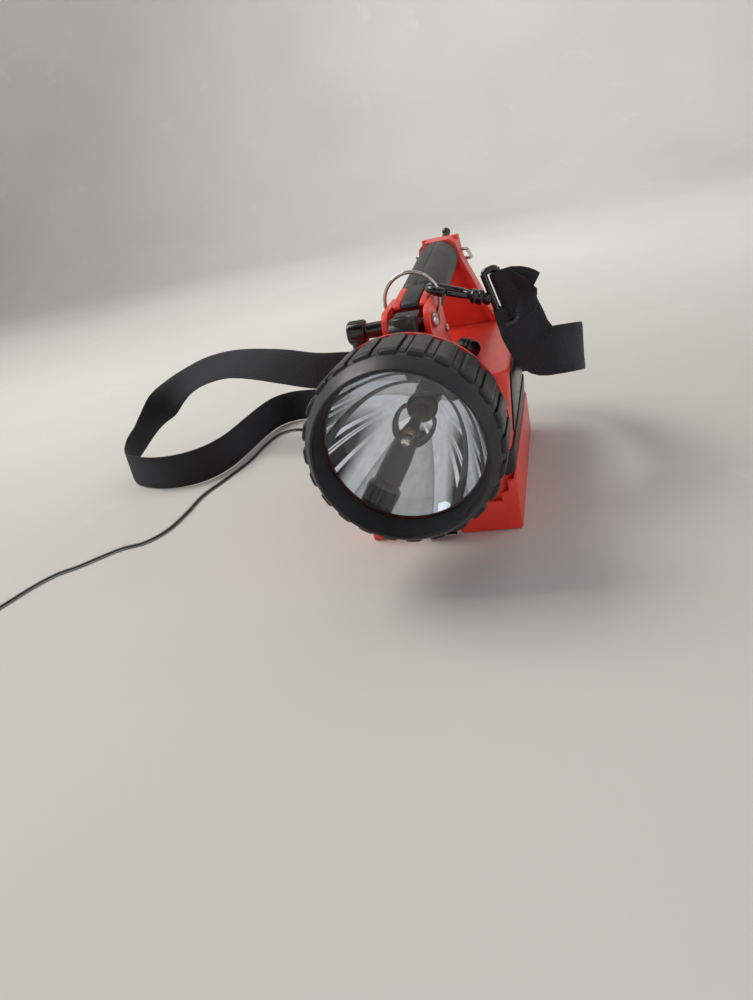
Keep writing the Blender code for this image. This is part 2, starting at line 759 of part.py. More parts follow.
def grip_outline(side, y, inner):
    """Half an oval around the spine, as points in X and Z, with the slot that takes the spine."""
    middle = grip_middle(y)
    points = []
    for step in range(13):
        angle = math.radians(-90 + 180 * step / 12)
        x = GRIP_HALF_WIDTH * math.cos(angle)
        z = GRIP_HALF_HEIGHT * math.sin(angle)
        points.append((max(x, GAP / 2), middle + z))
    points += [
        (GAP / 2, middle + SPINE_HALF_HEIGHT + GAP),
        (inner, middle + SPINE_HALF_HEIGHT + GAP),
        (inner, middle - SPINE_HALF_HEIGHT - GAP),
        (GAP / 2, middle - SPINE_HALF_HEIGHT - GAP),
    ]
    return [(side * x, z) for x, z in points]


def make_grip(rubber):
    """Two rubber halves that close round the spine, and the nose between the neck plates."""
    for side, name in ((-1, "grip_left"), (1, "grip_right")):
        shape = bmesh.new()
        rings = []
        for y in (GRIP_START, 0.0, POST_FRONT - 0.0005):
            outline = grip_outline(side, y, SPINE_HALF + GAP)
            rings.append([shape.verts.new((x, y, z)) for x, z in outline])
        for first, second in zip(rings, rings[1:]):
            for index in range(len(first)):
                after = (index + 1) % len(first)
                shape.faces.new((first[index], first[after], second[after], second[index]))
        shape.faces.new(rings[0])
        shape.faces.new(rings[-1])
        add_object(name, shape, rubber)
    nose = [
        (-0.0775, 0.1668),
        (-0.0558, 0.1668),
        (-0.0558, 0.1701),
        (-0.0384, 0.1701),
        (-0.0384, 0.1765),
        (-0.0480, 0.1752),
        (-0.0740, 0.1722),
        (-0.0775, 0.1700),
    ]
    prism("grip_nose", nose, "YZ", -0.0118, 0.0118, rubber)


def make_switch(black, steel, rubber):
    """Toggle switch let into the rear cap, with its collar, boot and lever."""
    lean = Vector((0.0, math.sin(SWITCH_LEAN), math.cos(SWITCH_LEAN)))
    base = SWITCH + lean * GAP
    collar = [(0.0042, 0.0), (0.0072, 0.0), (0.0072, 0.0018), (0.0042, 0.0018)]
    turned("switch_collar", collar, base, lean, steel, COARSE)
    boot = [
        (0.0016, 0.0021),
        (0.0060, 0.0021),
        (0.0052, 0.0050),
        (0.0036, 0.0085),
        (0.0030, 0.0105),
        (0.0016, 0.0105),
    ]
    turned("switch_boot", boot, base, lean, rubber, COARSE)
    lever = [
        (0.0, 0.0004),
        (0.0013, 0.0004),
        (0.0013, 0.0108),
        (0.0030, 0.0118),
        (0.0038, 0.0140),
        (0.0036, 0.0165),
        (0.0022, 0.0182),
        (0.0, 0.0188),
    ]
    toggle = turned("toggle_lever", lever, base, lean, black, COARSE)
    hang(joint_empty("toggle_axis", base), toggle)
    box("switch_body", (-0.0075, 0.1020, 0.1600), (0.0095, 0.1130, 0.1725), black)


# ---------------------------------------------------------------- head


def head_start():
    return Vector((0.0, FACE_Y, HEAD_Z))


def make_head(materials):
    """Shell, hinge lug, bezel, lens, gasket, reflector, lamp and socket."""
    back = Vector((0, 1, 0))
    start = head_start()
    inner = [
        (0.0, 0.0925 - SHELL_WALL),
        (0.0165, 0.0884),
        (0.0310, 0.0835),
        (0.0428, 0.0752),
        (0.0507, 0.0655),
        (0.0555, 0.0550),
        (0.0562, 0.0430),
        (0.0562, SHELL_MOUTH),
    ]
    shell = turned("head_shell", SHELL_PROFILE + inner, start, back, materials["orange"], 64)

    bezel = [
        (0.0528, -0.0088),
        (0.0538, -0.0100),
        (0.0550, -0.0096),
        (0.0603, -0.0006),
        (0.0618, 0.0008),
        (0.0626, 0.0032),
        (BEZEL_R, 0.0046),
        (BEZEL_R, 0.0375),
        (0.0622, BEZEL_DEPTH),
        (THREAD_R, BEZEL_DEPTH),
        (THREAD_R, 0.0202),
        (0.0575, 0.0200),
        (0.0575, 0.0111),
        (0.0513, 0.0108),
    ]
    ring = turned("bezel_ring", bezel, start, back, materials["rubber"], 72)
    lens = [
        (0.0, LENS_ALONG - 0.0012),
        (0.0250, LENS_ALONG - 0.0009),
        (0.0500, LENS_ALONG - 0.0001),
        (LENS_R, LENS_ALONG),
        (LENS_R, LENS_ALONG + LENS_THICK),
        (0.0, LENS_ALONG + LENS_THICK),
    ]
    glass = turned("lens", lens, start, back, materials["glass"], 64)
    seal = turned(
        "lens_gasket", washer_profile(0.0530, LENS_R, 0.0021), start + back * 0.0148, back, materials["black"]
    )

    apex = REFLECTOR_ALONG + REFLECTOR_DEPTH
    spread = REFLECTOR_R**2 / REFLECTOR_DEPTH
    bowl = []
    for step in range(10):
        radius = 0.0085 + (REFLECTOR_R - 0.0085) * step / 9
        bowl.append((radius, apex - radius**2 / spread))
    outside = [(radius + REFLECTOR_WALL * 0.7, along + REFLECTOR_WALL) for radius, along in reversed(bowl)]
    outside = [point for point in outside if point[1] > REFLECTOR_ALONG + 0.0032]
    flange = [(0.0570, REFLECTOR_ALONG), (0.0570, 0.0202), (outside[0][0], 0.0202)]
    mirror = turned("reflector", bowl + flange + outside, start, back, materials["mirror"], 64)

    socket = [
        (0.0036, 0.0655),
        (0.0076, 0.0655),
        (0.0076, 0.0705),
        (0.0100, 0.0710),
        (0.0100, 0.0730),
        (0.0072, 0.0735),
        (0.0072, 0.0840),
        (0.0036, 0.0840),
    ]
    holder = turned("lamp_socket", socket, start, back, materials["black"], COARSE)
    base = [
        (0.0, 0.0290),
        (0.0046, 0.0290),
        (0.0046, 0.0640),
        (0.0033, 0.0645),
        (0.0033, 0.0780),
        (0.0, 0.0780),
    ]
    cap = turned("lamp_base", base, start, back, materials["ceramic"], COARSE)
    bulb = [
        (0.0, 0.0160),
        (0.0016, 0.0166),
        (0.0030, 0.0184),
        (0.0035, 0.0210),
        (0.0034, 0.0250),
        (0.0026, 0.0287),
        (0.0, 0.0287),
    ]
    lamp = turned("lamp_bulb", bulb, start, back, materials["glass"], COARSE)
    spring_points = []
    for step in range(61):
        angle = 2 * math.pi * 5 * step / 60
        spring_points.append(
            start
            + Vector((0.0024 * math.cos(angle), 0.0789 + 0.0042 * step / 60, 0.0024 * math.sin(angle)))
        )
    spring = tube("socket_spring", spring_points, 0.0003, materials["steel"], 1)

    outline = [(-0.1170, 0.1400), (-0.1175, 0.1610), (-0.1140, 0.1650)]
    outline += arc((PIVOT.y, PIVOT.z), 0.0085, 100, -70, 9)
    outline += [(-0.0840, 0.1300), (-0.0900, 0.1200)]
    lug = prism("head_lug", outline, "YZ", -LUG_HALF, LUG_HALF, materials["black"])
    soften(lug, 0.0015, segments=2)
    outside_shell = [(radius + GAP if radius else 0.0, along) for radius, along in SHELL_PROFILE[3:]]
    outside_shell[-1] = (0.0, 0.0925 + GAP)
    outside_shell = [(0.0, 0.0400), (0.0631, 0.0400), (0.0631, 0.0424)] + outside_shell[1:]
    cut(lug, turned("cutter_lug_seat", outside_shell, start, back, materials["black"], 64))
    bores = bmesh.new()
    turned_shape(
        bores, rod_profile(BOLT_R + GAP, 0.08), Vector((-0.04, PIVOT.y, PIVOT.z)), Vector((1, 0, 0)), COARSE
    )
    cut(lug, add_object("cutter_lug_bore", bores, materials["black"]))
    pocket = bmesh.new()
    turned_shape(pocket, rod_profile(0.0072, 0.03), Vector((0, -0.1065, 0.1520)), Vector((0, 0.10, 1)), COARSE)
    cut(lug, add_object("cutter_lug_pocket", pocket, materials["black"]))
    lead_gland = [(0.0, 0.0), (0.0042, 0.0), (0.0042, 0.0100), (0.0034, 0.0112), (0.0, 0.0112)]
    gland = turned("lead_sleeve", lead_gland, (0, -0.1065, 0.1524), (0, 0.10, 1), materials["black"], COARSE)

    tilt = joint_empty("tilt_axis", PIVOT)
    hang(tilt, shell, glass, seal, mirror, holder, cap, lamp, spring, lug, gland)
    turn = joint_empty("bezel_axis", start)
    turn.parent = tilt
    turn.matrix_parent_inverse = Matrix.Translation(-tilt.location)
    ring.parent = turn
    ring.matrix_parent_inverse = Matrix.Translation(-turn.location)


def make_pivot(steel, black):
    """Bolt through neck plates and lug, its nut side knob, and the knob's wing."""
    bolt = [
        (0.0, 0.0),
        (BOLT_R, 0.0),
        (BOLT_R, 0.0560 - 0.0030),
        (0.0052, 0.0560 - 0.0030),
        (0.0052, 0.0560 - 0.0012),
        (0.0040, 0.0560),
        (0.0, 0.0560),
    ]
    start = PLATE_OUT + GAP + 0.0030 - 0.0560
    turned("pivot_bolt", bolt, (start, PIVOT.y, PIVOT.z), (1, 0, 0), steel, COARSE)
    knob_in = -PLATE_OUT - GAP
    outer = 0.0260
    profile = [
        (BOLT_R + GAP, 0.0),
        (0.0055, 0.0),
        (0.0055, 0.0135),
        (0.0082, 0.0140),
        (0.0082, outer),
        (0.0070, outer + 0.0010),
        (0.0, outer + 0.0010),
        (0.0, outer - 0.0010),
        (BOLT_R + GAP, outer - 0.0010),
    ]
    knob = turned("tilt_knob", profile, (knob_in, PIVOT.y, PIVOT.z), (-1, 0, 0), black, COARSE)
    wing = [
        (-0.0060, 0.0040),
        (0.0060, 0.0040),
        (0.0068, -0.0110),
        (0.0040, -0.0175),
        (-0.0040, -0.0175),
        (-0.0068, -0.0110),
    ]
    wing = [(PIVOT.y + y, PIVOT.z + z) for y, z in wing]
    blade = prism("helper_knob_wing", wing, "YZ", knob_in - 0.0245, knob_in - 0.0150, black)
    add(knob, blade)
    core = turned(
        "cutter_knob_bore",
        rod_profile(BOLT_R + GAP, outer + 0.0090),
        (knob_in + 0.01, PIVOT.y, PIVOT.z),
        (-1, 0, 0),
        black,
        COARSE,
    )
    cut(knob, core)
    hang(joint_empty("knob_axis", (knob_in, PIVOT.y, PIVOT.z)), knob)


# ---------------------------------------------------------------- rings, hooks and strap


def ring_points(middle, normal, radius, steps):
    side, up, _ = rest_frame(normal)
    points = []
    for step in range(steps):
        angle = 2 * math.pi * step / steps
        points.append(middle + radius * (math.cos(angle) * side + math.sin(angle) * up))
    return points


def make_ring(name, hole, lean, steel):
    """Split ring through a bored pair of plates, leaning by an angle from upright."""
    up = Vector((0, math.sin(lean), math.cos(lean)))
    normal = Vector((0, math.cos(lean), -math.sin(lean)))
    shape = bmesh.new()
    swept_shape(shape, ring_points(hole + up * RING_LIFT, normal, RING_R, 40), RING_WIRE, 8, closed=True)
    return add_object(name, shape, steel)


def make_bail(steel):
    """Wire bail whose pin ends turn in the rear post, with its bar behind the post."""
    back = BAIL_BAR - BAIL_AXIS
    corner = 0.0035
    reach = back.length
    along = back.normalized()
    points = []
    for side in (-1, 1):
        half = []
        half.append(BAIL_AXIS + Vector((side * BAIL_PIN_IN, 0, 0)))
        half.append(BAIL_AXIS + Vector((side * (BAIL_HALF - corner), 0, 0)))
        for step in range(1, 4):
            angle = math.radians(30 * step)
            out = Vector((side * (BAIL_HALF - corner + corner * math.sin(angle)), 0, 0))
            half.append(BAIL_AXIS + out + along * corner * (1 - math.cos(angle)))
        for step in range(4):
            angle = math.radians(30 * step)
            out = Vector((side * (BAIL_HALF - corner + corner * math.cos(angle)), 0, 0))
            half.append(BAIL_AXIS + out + along * (reach - corner + corner * math.sin(angle)))
        points = half + points[::-1] if side < 0 else points + half[::-1]
    shape = bmesh.new()
    swept_shape(shape, points, RING_WIRE, 8)
    return add_object("rear_bail", shape, steel)


def make_hook(end, start, along, pull, bars, black, steel):
    """Snap hook with its sprung gate, swivel and strap loop. The strap leaves the loop along pull."""
    across = Vector((0, 1, 0))
    across = (across - along * across.dot(along)).normalized()

    def place(forward, sideways):
        return start + along * forward + across * sideways

    route = [place(0.0325, 0.0), place(0.0285, 0.0022), place(0.0240, 0.0055), place(0.0180, HOOK_HALF)]
    for step in range(9):
        angle = math.radians(90 + 180 * step / 8)
        route.append(place(HOOK_HALF * (1 + math.cos(angle)), HOOK_HALF * math.sin(angle)))
    route.append(place(0.0100, -HOOK_HALF))
    shape = bmesh.new()
    swept_shape(shape, route, HOOK_R, 10)
    body = add_object(end + "_hook_body", shape, black)
    barrel = bmesh.new()
    turned_shape(barrel, rod_profile(0.0046, 0.0080), place(0.0300, 0.0), along, COARSE)
    add(body, add_object("helper_" + end + "_barrel", barrel, black))
    gate_shape = bmesh.new()
    gate_route = [place(0.0129, -HOOK_HALF), place(0.0200, -0.0062), place(0.0263, -0.0052)]
    swept_shape(gate_shape, gate_route, 0.0018, 8)
    gate = add_object(end + "_hook_gate", gate_shape, steel)

    collar = [(0.0, 0.0), (0.0040, 0.0), (0.0040, 0.0052), (0.0, 0.0052)]
    swivel = bmesh.new()
    turned_shape(swivel, collar, place(0.0383, 0.0), along, COARSE)
    loop = add_object(end + "_strap_loop", swivel, black)
    half = STRAP_WIDTH / 2 + 0.003
    depth = 0.0095
    near = place(0.0452, 0.0)
    points = []
    radius = 0.0030
    corners = (
        (radius, radius - half, 180),
        (depth - radius, radius - half, 270),
        (depth - radius, half - radius, 0),
        (radius, half - radius, 90),
    )
    for forward, sideways, first in corners:
        for step in range(4):
            angle = math.radians(first + 30 * step)
            points.append(
                near
                + pull * (forward + radius * math.cos(angle))
                + bars * (sideways + radius * math.sin(angle))
            )
    loop_shape = bmesh.new()
    swept_shape(loop_shape, points, LOOP_WIRE, 8, closed=True)
    add(loop, add_object("helper_" + end + "_loop", loop_shape, black))
    return body, gate, loop, place


def make_strap(webbing):
    """One webbing strap, swept along its route with its width turning as it goes."""
    scale = 0.001
    route = [(*place, *(Vector(width).normalized() * scale)) for place, width in STRAP_ROUTE]
    read = smooth_curve(route, 0.0085)
    middle = [Vector(point[:3]) for point in read]
    shape = bmesh.new()
    rings = []
    for index, point in enumerate(middle):
        before = middle[max(index - 1, 0)]
        after = middle[min(index + 1, len(middle) - 1)]
        along = (after - before).normalized()
        width = Vector(read[index][3:]) / scale
        width = (width - along * width.dot(along)).normalized()
        face = along.cross(width)
        ring = []
        for sideways, out in ((-1, -1), (1, -1), (1, 1), (-1, 1)):
            ring.append(
                shape.verts.new(point + width * sideways * STRAP_WIDTH / 2 + face * out * STRAP_THICK / 2)
            )
        rings.append(ring)
    for first, second in zip(rings, rings[1:]):
        for step in range(4):
            after = (step + 1) % 4
            shape.faces.new((first[step], first[after], second[after], second[step]))
    shape.faces.new(rings[0])
    shape.faces.new(rings[-1])
    add_object("shoulder_strap", shape, webbing)


def make_carrying_gear(materials):
    black, steel = materials["black"], materials["steel"]
    front_hole = Vector((0.0, RING_AXIS_Y, RING_AXIS_Z))
    front_ring = make_ring("front_ring", front_hole, 0.0, steel)
    rear_bail = make_bail(steel)
    front_loop = (FRONT_LOOP_PULL, FRONT_LOOP_BARS)
    rear_loop = (REAR_HOOK_ALONG, Vector((1, 0, 0)))
    front = make_hook("front", FRONT_HOOK_START, FRONT_HOOK_ALONG, *front_loop, black, steel)
    rear = make_hook("rear", REAR_HOOK_START, REAR_HOOK_ALONG, *rear_loop, black, steel)
    front_empty = joint_empty("front_ring_axis", front_hole)
    rear_empty = joint_empty("rear_bail_axis", BAIL_AXIS)
    hang(front_empty, front_ring, front[2])
    hang(rear_empty, rear_bail, rear[2])
    for end, empty, parts in (("front", front_empty, front), ("rear", rear_empty, rear)):
        body, gate, _, place = parts
        swivel = joint_empty(end + "_swivel_axis", place(0.0383, 0.0))
        gate_empty = joint_empty(end + "_gate_axis", place(0.0263, -0.0052))
        hang(swivel, body)
        hang(gate_empty, gate)
        for child, parent in ((swivel, empty), (gate_empty, swivel)):
            child.parent = parent
            child.matrix_parent_inverse = Matrix.Translation(-parent.location)
    make_strap(materials["webbing"])


# ---------------------------------------------------------------- charging lead


def make_lead(black, brass):
    """Lead from the tray, its coil and the wall adapter."""
    route = smooth_curve(LEAD_ROUTE, 0.0105)
    tube("charging_lead", route, LEAD_WIDTH / 2, black, 2)
    coil = [
        (COIL_IN, 0.0002),
        (COIL_OUT, 0.0002),
        (COIL_OUT, COIL_HIGH),
        (COIL_IN, COIL_HIGH),
    ]
    turned("lead_coil", coil, COIL_MIDDLE, (0, 0, 1), black, 32)
    low = COIL_MIDDLE + Vector((-0.020, -COIL_OUT - GAP - 0.050, 0.0))
    adapter = box("adapter_body", low, low + Vector((0.040, 0.050, 0.030)), black)
    soften(adapter, 0.003, segments=2)
    prongs = bmesh.new()
    for x in (-0.0063, 0.0063):
        middle = low + Vector((0.020 + x, 0.0, 0.015))
        low_corner = middle + Vector((-0.0008, -0.0173, -0.0032))
        box_shape(prongs, low_corner, middle + Vector((0.0008, 0.0020, 0.0032)))
    add(adapter, add_object("helper_adapter_prongs", prongs, brass))


# ---------------------------------------------------------------- whole object


def main():
    clear_scene()
    materials = {
        "orange": finish("orange_plastic", (0.80, 0.060, 0.022), 0.42),
        "rubber": finish("bezel_rubber", (0.045, 0.048, 0.055), 0.62),
        "grip": finish("grip_rubber", (0.085, 0.085, 0.090), 0.70),
        "black": finish("black_plastic", (0.012, 0.012, 0.014), 0.30),
        "webbing": finish("strap_webbing", (0.012, 0.012, 0.018), 0.85),
        "steel": finish("nickel_steel", (0.62, 0.60, 0.57), 0.25, 1.0),
        "brass": finish("contact_brass", (0.80, 0.60, 0.28), 0.30, 1.0),
        "mirror": finish("reflector_mirror", (0.92, 0.93, 0.95), 0.03, 1.0),
        "glass": finish("clear_lens", (1.0, 1.0, 1.0), 0.03, 0.0, 1.0),
        "ceramic": finish("lamp_ceramic", (0.55, 0.42, 0.20), 0.60),
        "battery": finish("battery_case", (0.10, 0.10, 0.11), 0.50),
        "foam": finish("foam_pad", (0.08, 0.08, 0.08), 0.95),
        "board": finish("circuit_board", (0.02, 0.16, 0.06), 0.50),
        "lead": finish("lead_insulation", (0.015, 0.015, 0.017), 0.45),
    }
    make_tray(materials["orange"], materials["brass"], materials["black"])
    make_latch(materials["black"], materials["steel"])
    make_case(materials["orange"], materials["black"], materials["steel"])
    make_inside(materials)
    make_vent(materials["black"])
    make_handle(materials["orange"], materials["steel"])
    make_grip(materials["grip"])
    make_switch(materials["black"], materials["steel"], materials["grip"])
    make_head(materials)
    make_pivot(materials["steel"], materials["black"])
    make_carrying_gear(materials)
    make_lead(materials["lead"], materials["brass"])


if __name__ == "__main__":
    main()
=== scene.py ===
"""Rechargeable box hand lantern in its charging tray: finished surfaces, strap, lead and stage.

Metres, +Z up. The lamp faces -Y. Each operator makes one piece or a group of like pieces, and
each piece rides on the body that carries it, except the strap's two webs and the switch's boot, which ride on
none.
"""

import json
import math
import random

import bmesh
import bpy
from bpy.props import FloatProperty, FloatVectorProperty, IntProperty, PointerProperty
from mathutils import Matrix, Vector

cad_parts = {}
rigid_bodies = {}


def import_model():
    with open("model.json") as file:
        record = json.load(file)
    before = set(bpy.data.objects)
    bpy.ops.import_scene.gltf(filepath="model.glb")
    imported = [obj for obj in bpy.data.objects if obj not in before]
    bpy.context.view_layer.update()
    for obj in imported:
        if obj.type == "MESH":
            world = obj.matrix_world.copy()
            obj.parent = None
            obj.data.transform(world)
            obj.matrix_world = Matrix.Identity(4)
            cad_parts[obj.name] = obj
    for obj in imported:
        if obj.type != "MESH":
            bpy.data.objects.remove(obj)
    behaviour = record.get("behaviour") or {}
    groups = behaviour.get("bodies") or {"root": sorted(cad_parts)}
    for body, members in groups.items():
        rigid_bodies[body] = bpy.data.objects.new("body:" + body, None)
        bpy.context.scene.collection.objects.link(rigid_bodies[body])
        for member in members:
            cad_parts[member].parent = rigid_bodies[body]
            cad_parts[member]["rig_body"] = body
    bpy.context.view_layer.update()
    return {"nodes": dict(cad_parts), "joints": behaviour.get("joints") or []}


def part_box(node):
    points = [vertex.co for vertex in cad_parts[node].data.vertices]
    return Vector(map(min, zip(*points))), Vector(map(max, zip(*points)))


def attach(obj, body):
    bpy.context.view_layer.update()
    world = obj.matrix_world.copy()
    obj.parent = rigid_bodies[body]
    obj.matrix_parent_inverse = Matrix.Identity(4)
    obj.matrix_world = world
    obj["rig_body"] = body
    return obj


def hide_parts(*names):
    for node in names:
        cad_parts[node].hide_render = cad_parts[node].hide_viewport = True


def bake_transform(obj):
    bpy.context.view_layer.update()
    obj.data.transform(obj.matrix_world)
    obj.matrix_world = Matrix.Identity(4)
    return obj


bl_info = {
    "name": "Box hand lantern",
    "version": (1, 0, 0),
    "blender": (4, 5, 0),
    "location": "3D View > Sidebar > Lantern",
    "description": "Finishes a rechargeable hand lantern, its strap, its lead and its charging tray",
    "category": "Object",
}

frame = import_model()
JOINTS = {joint["name"]: joint for joint in frame["joints"]}
HEAD = Vector(JOINTS["bezel_turn"]["pos_m"])
PIVOT = Vector(JOINTS["head_tilt"]["pos_m"])
SWITCH_BASE = Vector(JOINTS["switch_flip"]["pos_m"])
SWITCH_LEAN = math.radians(56)
X_AXIS, Y_AXIS, Z_AXIS = Vector((1, 0, 0)), Vector((0, 1, 0)), Vector((0, 0, 1))

# The camera: where it stands, which way it faces, and its lens.
CAMERA_PLACE = Vector((0.1076, -0.5830, 0.2608))
CAMERA_HEADING = math.radians(-17.85)
CAMERA_DIP = math.radians(23.99)
CAMERA_ROLL = math.radians(-13.13)
CAMERA_LENS = 26.50
CAMERA_SENSOR = 36.0

# Bright strips in the dark part of the sky: the middle of each and half its width, as x over height.
SKY_WINDOWS = ((-0.62, 0.10), (0.10, 0.035), (0.22, 0.030), (0.62, 0.12))

# The shoulder strap's route: the middle of its width, then the direction across it.
FRONT_LOOP_PULL = Vector((0.93, 0.28, 0.23)).normalized()
FRONT_LOOP_BARS = Vector((-0.24, 0.0, 0.97)).normalized()
STRAP_FRONT_ROUTE = [
    ((0.0688, -0.0580, 0.1590), (0.06, 0.00, -1.00)),
    ((0.0700, -0.0572, 0.1500), (-0.38, -0.14, -0.92)),
    ((0.0722, -0.0530, 0.1391), (-0.62, -0.28, -0.72)),
    ((0.0766, -0.0480, 0.1250), (-0.46, -0.22, -0.84)),
    ((0.0835, -0.0440, 0.1148), (-0.12, 0.00, -0.99)),
    ((0.0945, -0.0372, 0.1122), (-0.05, 0.00, -1.00)),
    ((0.1056, -0.0232, 0.1086), (-0.05, 0.00, -1.00)),
    ((0.1112, -0.0040, 0.1034), (-0.05, 0.00, -1.00)),
    ((0.1110, 0.0240, 0.0960), (0.00, 0.03, -1.00)),
    ((0.1060, 0.0620, 0.0860), (0.00, 0.06, -1.00)),
    ((0.0900, 0.1080, 0.0745), (0.05, 0.08, -1.00)),
    ((0.0560, 0.1410, 0.0650), (0.05, 0.05, -1.00)),
    ((0.0200, 0.1560, 0.0560), (0.05, 0.02, -1.00)),
    ((-0.0150, 0.1615, 0.0500), (0.05, 0.00, -1.00)),
    ((-0.0500, 0.1650, 0.0430), (0.05, 0.00, -1.00)),
]
STRAP_REAR_ROUTE = [
    ((-0.0120, 0.1636, 0.0505), (0.05, 0.00, -1.00)),
    ((-0.0500, 0.1676, 0.0430), (0.05, 0.00, -1.00)),
    ((-0.0850, 0.1730, 0.0350), (0.05, 0.00, -1.00)),
    ((-0.1500, 0.1940, 0.0240), (0.03, 0.00, -1.00)),
    ((-0.2000, 0.2200, 0.0200), (0.00, 0.00, -1.00)),
    ((-0.2280, 0.2260, 0.0190), (0.00, 0.00, -1.00)),
    ((-0.2480, 0.2080, 0.0190), (0.00, 0.00, -1.00)),
    ((-0.2560, 0.1560, 0.0190), (0.00, 0.00, -1.00)),
    ((-0.2600, 0.1040, 0.0190), (0.00, 0.00, -1.00)),
    ((-0.2740, 0.0680, 0.0190), (0.00, 0.00, -1.00)),
    ((-0.2990, 0.0530, 0.0190), (0.00, 0.00, -1.00)),
    ((-0.3330, 0.0560, 0.0190), (0.00, 0.00, -1.00)),
    ((-0.3700, 0.0760, 0.0200), (0.00, 0.00, -1.00)),
    ((-0.3860, 0.1060, 0.0260), (-0.15, 0.00, -1.00)),
    ((-0.3800, 0.1340, 0.0400), (-0.35, 0.00, -0.94)),
    ((-0.3590, 0.1500, 0.0610), (-0.55, -0.15, -0.80)),
    ((-0.3260, 0.1560, 0.0820), (-0.50, -0.36, -0.78)),
    ((-0.2880, 0.1500, 0.0955), (-0.32, -0.62, -0.70)),
    ((-0.2500, 0.1400, 0.1010), (-0.10, -0.78, -0.62)),
    ((-0.2140, 0.1280, 0.0990), (0.00, -0.72, -0.69)),
    ((-0.1800, 0.1180, 0.0935), (0.00, -0.52, -0.85)),
    ((-0.1450, 0.1120, 0.0860), (0.00, -0.32, -0.95)),
    ((-0.1050, 0.1160, 0.0800), (0.10, -0.10, -0.98)),
    ((-0.0650, 0.1240, 0.0700), (0.45, 0.00, -0.89)),
    ((-0.0300, 0.1290, 0.0680), (0.80, 0.00, -0.60)),
    ((-0.0080, 0.1300, 0.0790), (0.98, 0.00, -0.20)),
    ((-0.0005, 0.1305, 0.0960), (1.00, 0.00, 0.00)),
]

# The case at its foot and at its top: half its width, then its front and rear faces.
CASE_FOOT = (0.0515, -0.0965, 0.0935)
CASE_TOP = (0.0600, -0.0830, 0.1040)

# Each snap hook: its wire, and the bent wire loop that holds the strap, from the hook's start.
HOOK_WIRE = 0.0031
LOOP_WIRE = 0.0024
LOOP_START = 0.0452
LOOP_DEPTH = 0.0095
LOOP_HALF = 0.0196
# The strap's width where a loop gathers it, as a share of the whole.
GATHERED = 0.93
# The length of each strap's sewn tail, and how the front one sags.
TAILS = {"front": 0.015, "rear": 0.020}
TAIL_DROP = Vector((0.0, 0.0, -0.0042))
# The points of the route that the two rows of stitches by a loop lie on.
SEWN_ROWS = (16, 20)

# The widths of the grip's front tongue and of the head's lug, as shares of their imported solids.
TONGUE_SHARE = 0.54
LUG_SHARE = 0.86

# The charging lead: the route of the stretch that isn't coiled, then its coil.
LEAD_LOW = 0.0020
LEAD_ROUTE = [
    (-0.0684, 0.0800, 0.0100),
    (-0.0780, 0.0802, 0.0095),
    (-0.0880, 0.0830, 0.0060),
    (-0.1010, 0.0900, 0.0025),
    (-0.1180, 0.1020, LEAD_LOW),
    (-0.1420, 0.1250, LEAD_LOW),
    (-0.1680, 0.1520, LEAD_LOW),
    (-0.1950, 0.1770, LEAD_LOW),
    (-0.2190, 0.1890, LEAD_LOW),
    (-0.2370, 0.1780, LEAD_LOW),
    (-0.2430, 0.1450, LEAD_LOW),
    (-0.2450, 0.1030, LEAD_LOW),
    (-0.2560, 0.0540, LEAD_LOW),
    (-0.2640, 0.0220, LEAD_LOW),
    (-0.2640, -0.0140, LEAD_LOW),
    (-0.2670, -0.0480, LEAD_LOW),
    (-0.2790, -0.0690, LEAD_LOW),
    (-0.2980, -0.0770, LEAD_LOW),
    (-0.3130, -0.0900, LEAD_LOW),
    (-0.3270, -0.1040, LEAD_LOW),
    (-0.3420, -0.1150, LEAD_LOW),
    (-0.3530, -0.1330, LEAD_LOW),
    (-0.3640, -0.1620, LEAD_LOW),
    (-0.3750, -0.1900, LEAD_LOW),
    (-0.3850, -0.2120, LEAD_LOW),
]
COIL_START = (-0.3915, -0.2281)


# ---------------------------------------------------------------- colours and materials


def tint(code):
    """A hex colour in sRGB, as linear red, green and blue."""
    parts = [int(code[place : place + 2], 16) / 255 for place in (1, 3, 5)]
    return tuple(part / 12.92 if part <= 0.04045 else ((part + 0.055) / 1.055) ** 2.4 for part in parts)


def node(tree, kind, inputs=None, out=0, **settings):
    """Adds a node with its settings, and returns one of its outputs.

    An input takes a value, or a socket to link it to.
    """
    made = tree.nodes.new(kind)
    for name, value in settings.items():
        setattr(made, name, value)
    for name, value in (inputs or {}).items():
        if isinstance(value, bpy.types.NodeSocket):
            tree.links.new(value, made.inputs[name])
        else:
            made.inputs[name].default_value = value
    return made.outputs[out] if made.outputs else None


def begin(name):
    """An empty material's node tree, and the place of each point on the object, in metres."""
    material = bpy.data.materials.new(name)
    material.use_nodes = True
    tree = material.node_tree
    tree.nodes.clear()
    return material, tree, node(tree, "ShaderNodeTexCoord", out="Object")


def close(material, inputs):
    """Ends a material in one Principled shader."""
    tree = material.node_tree
    node(tree, "ShaderNodeOutputMaterial", {"Surface": node(tree, "ShaderNodeBsdfPrincipled", inputs)})
    return material


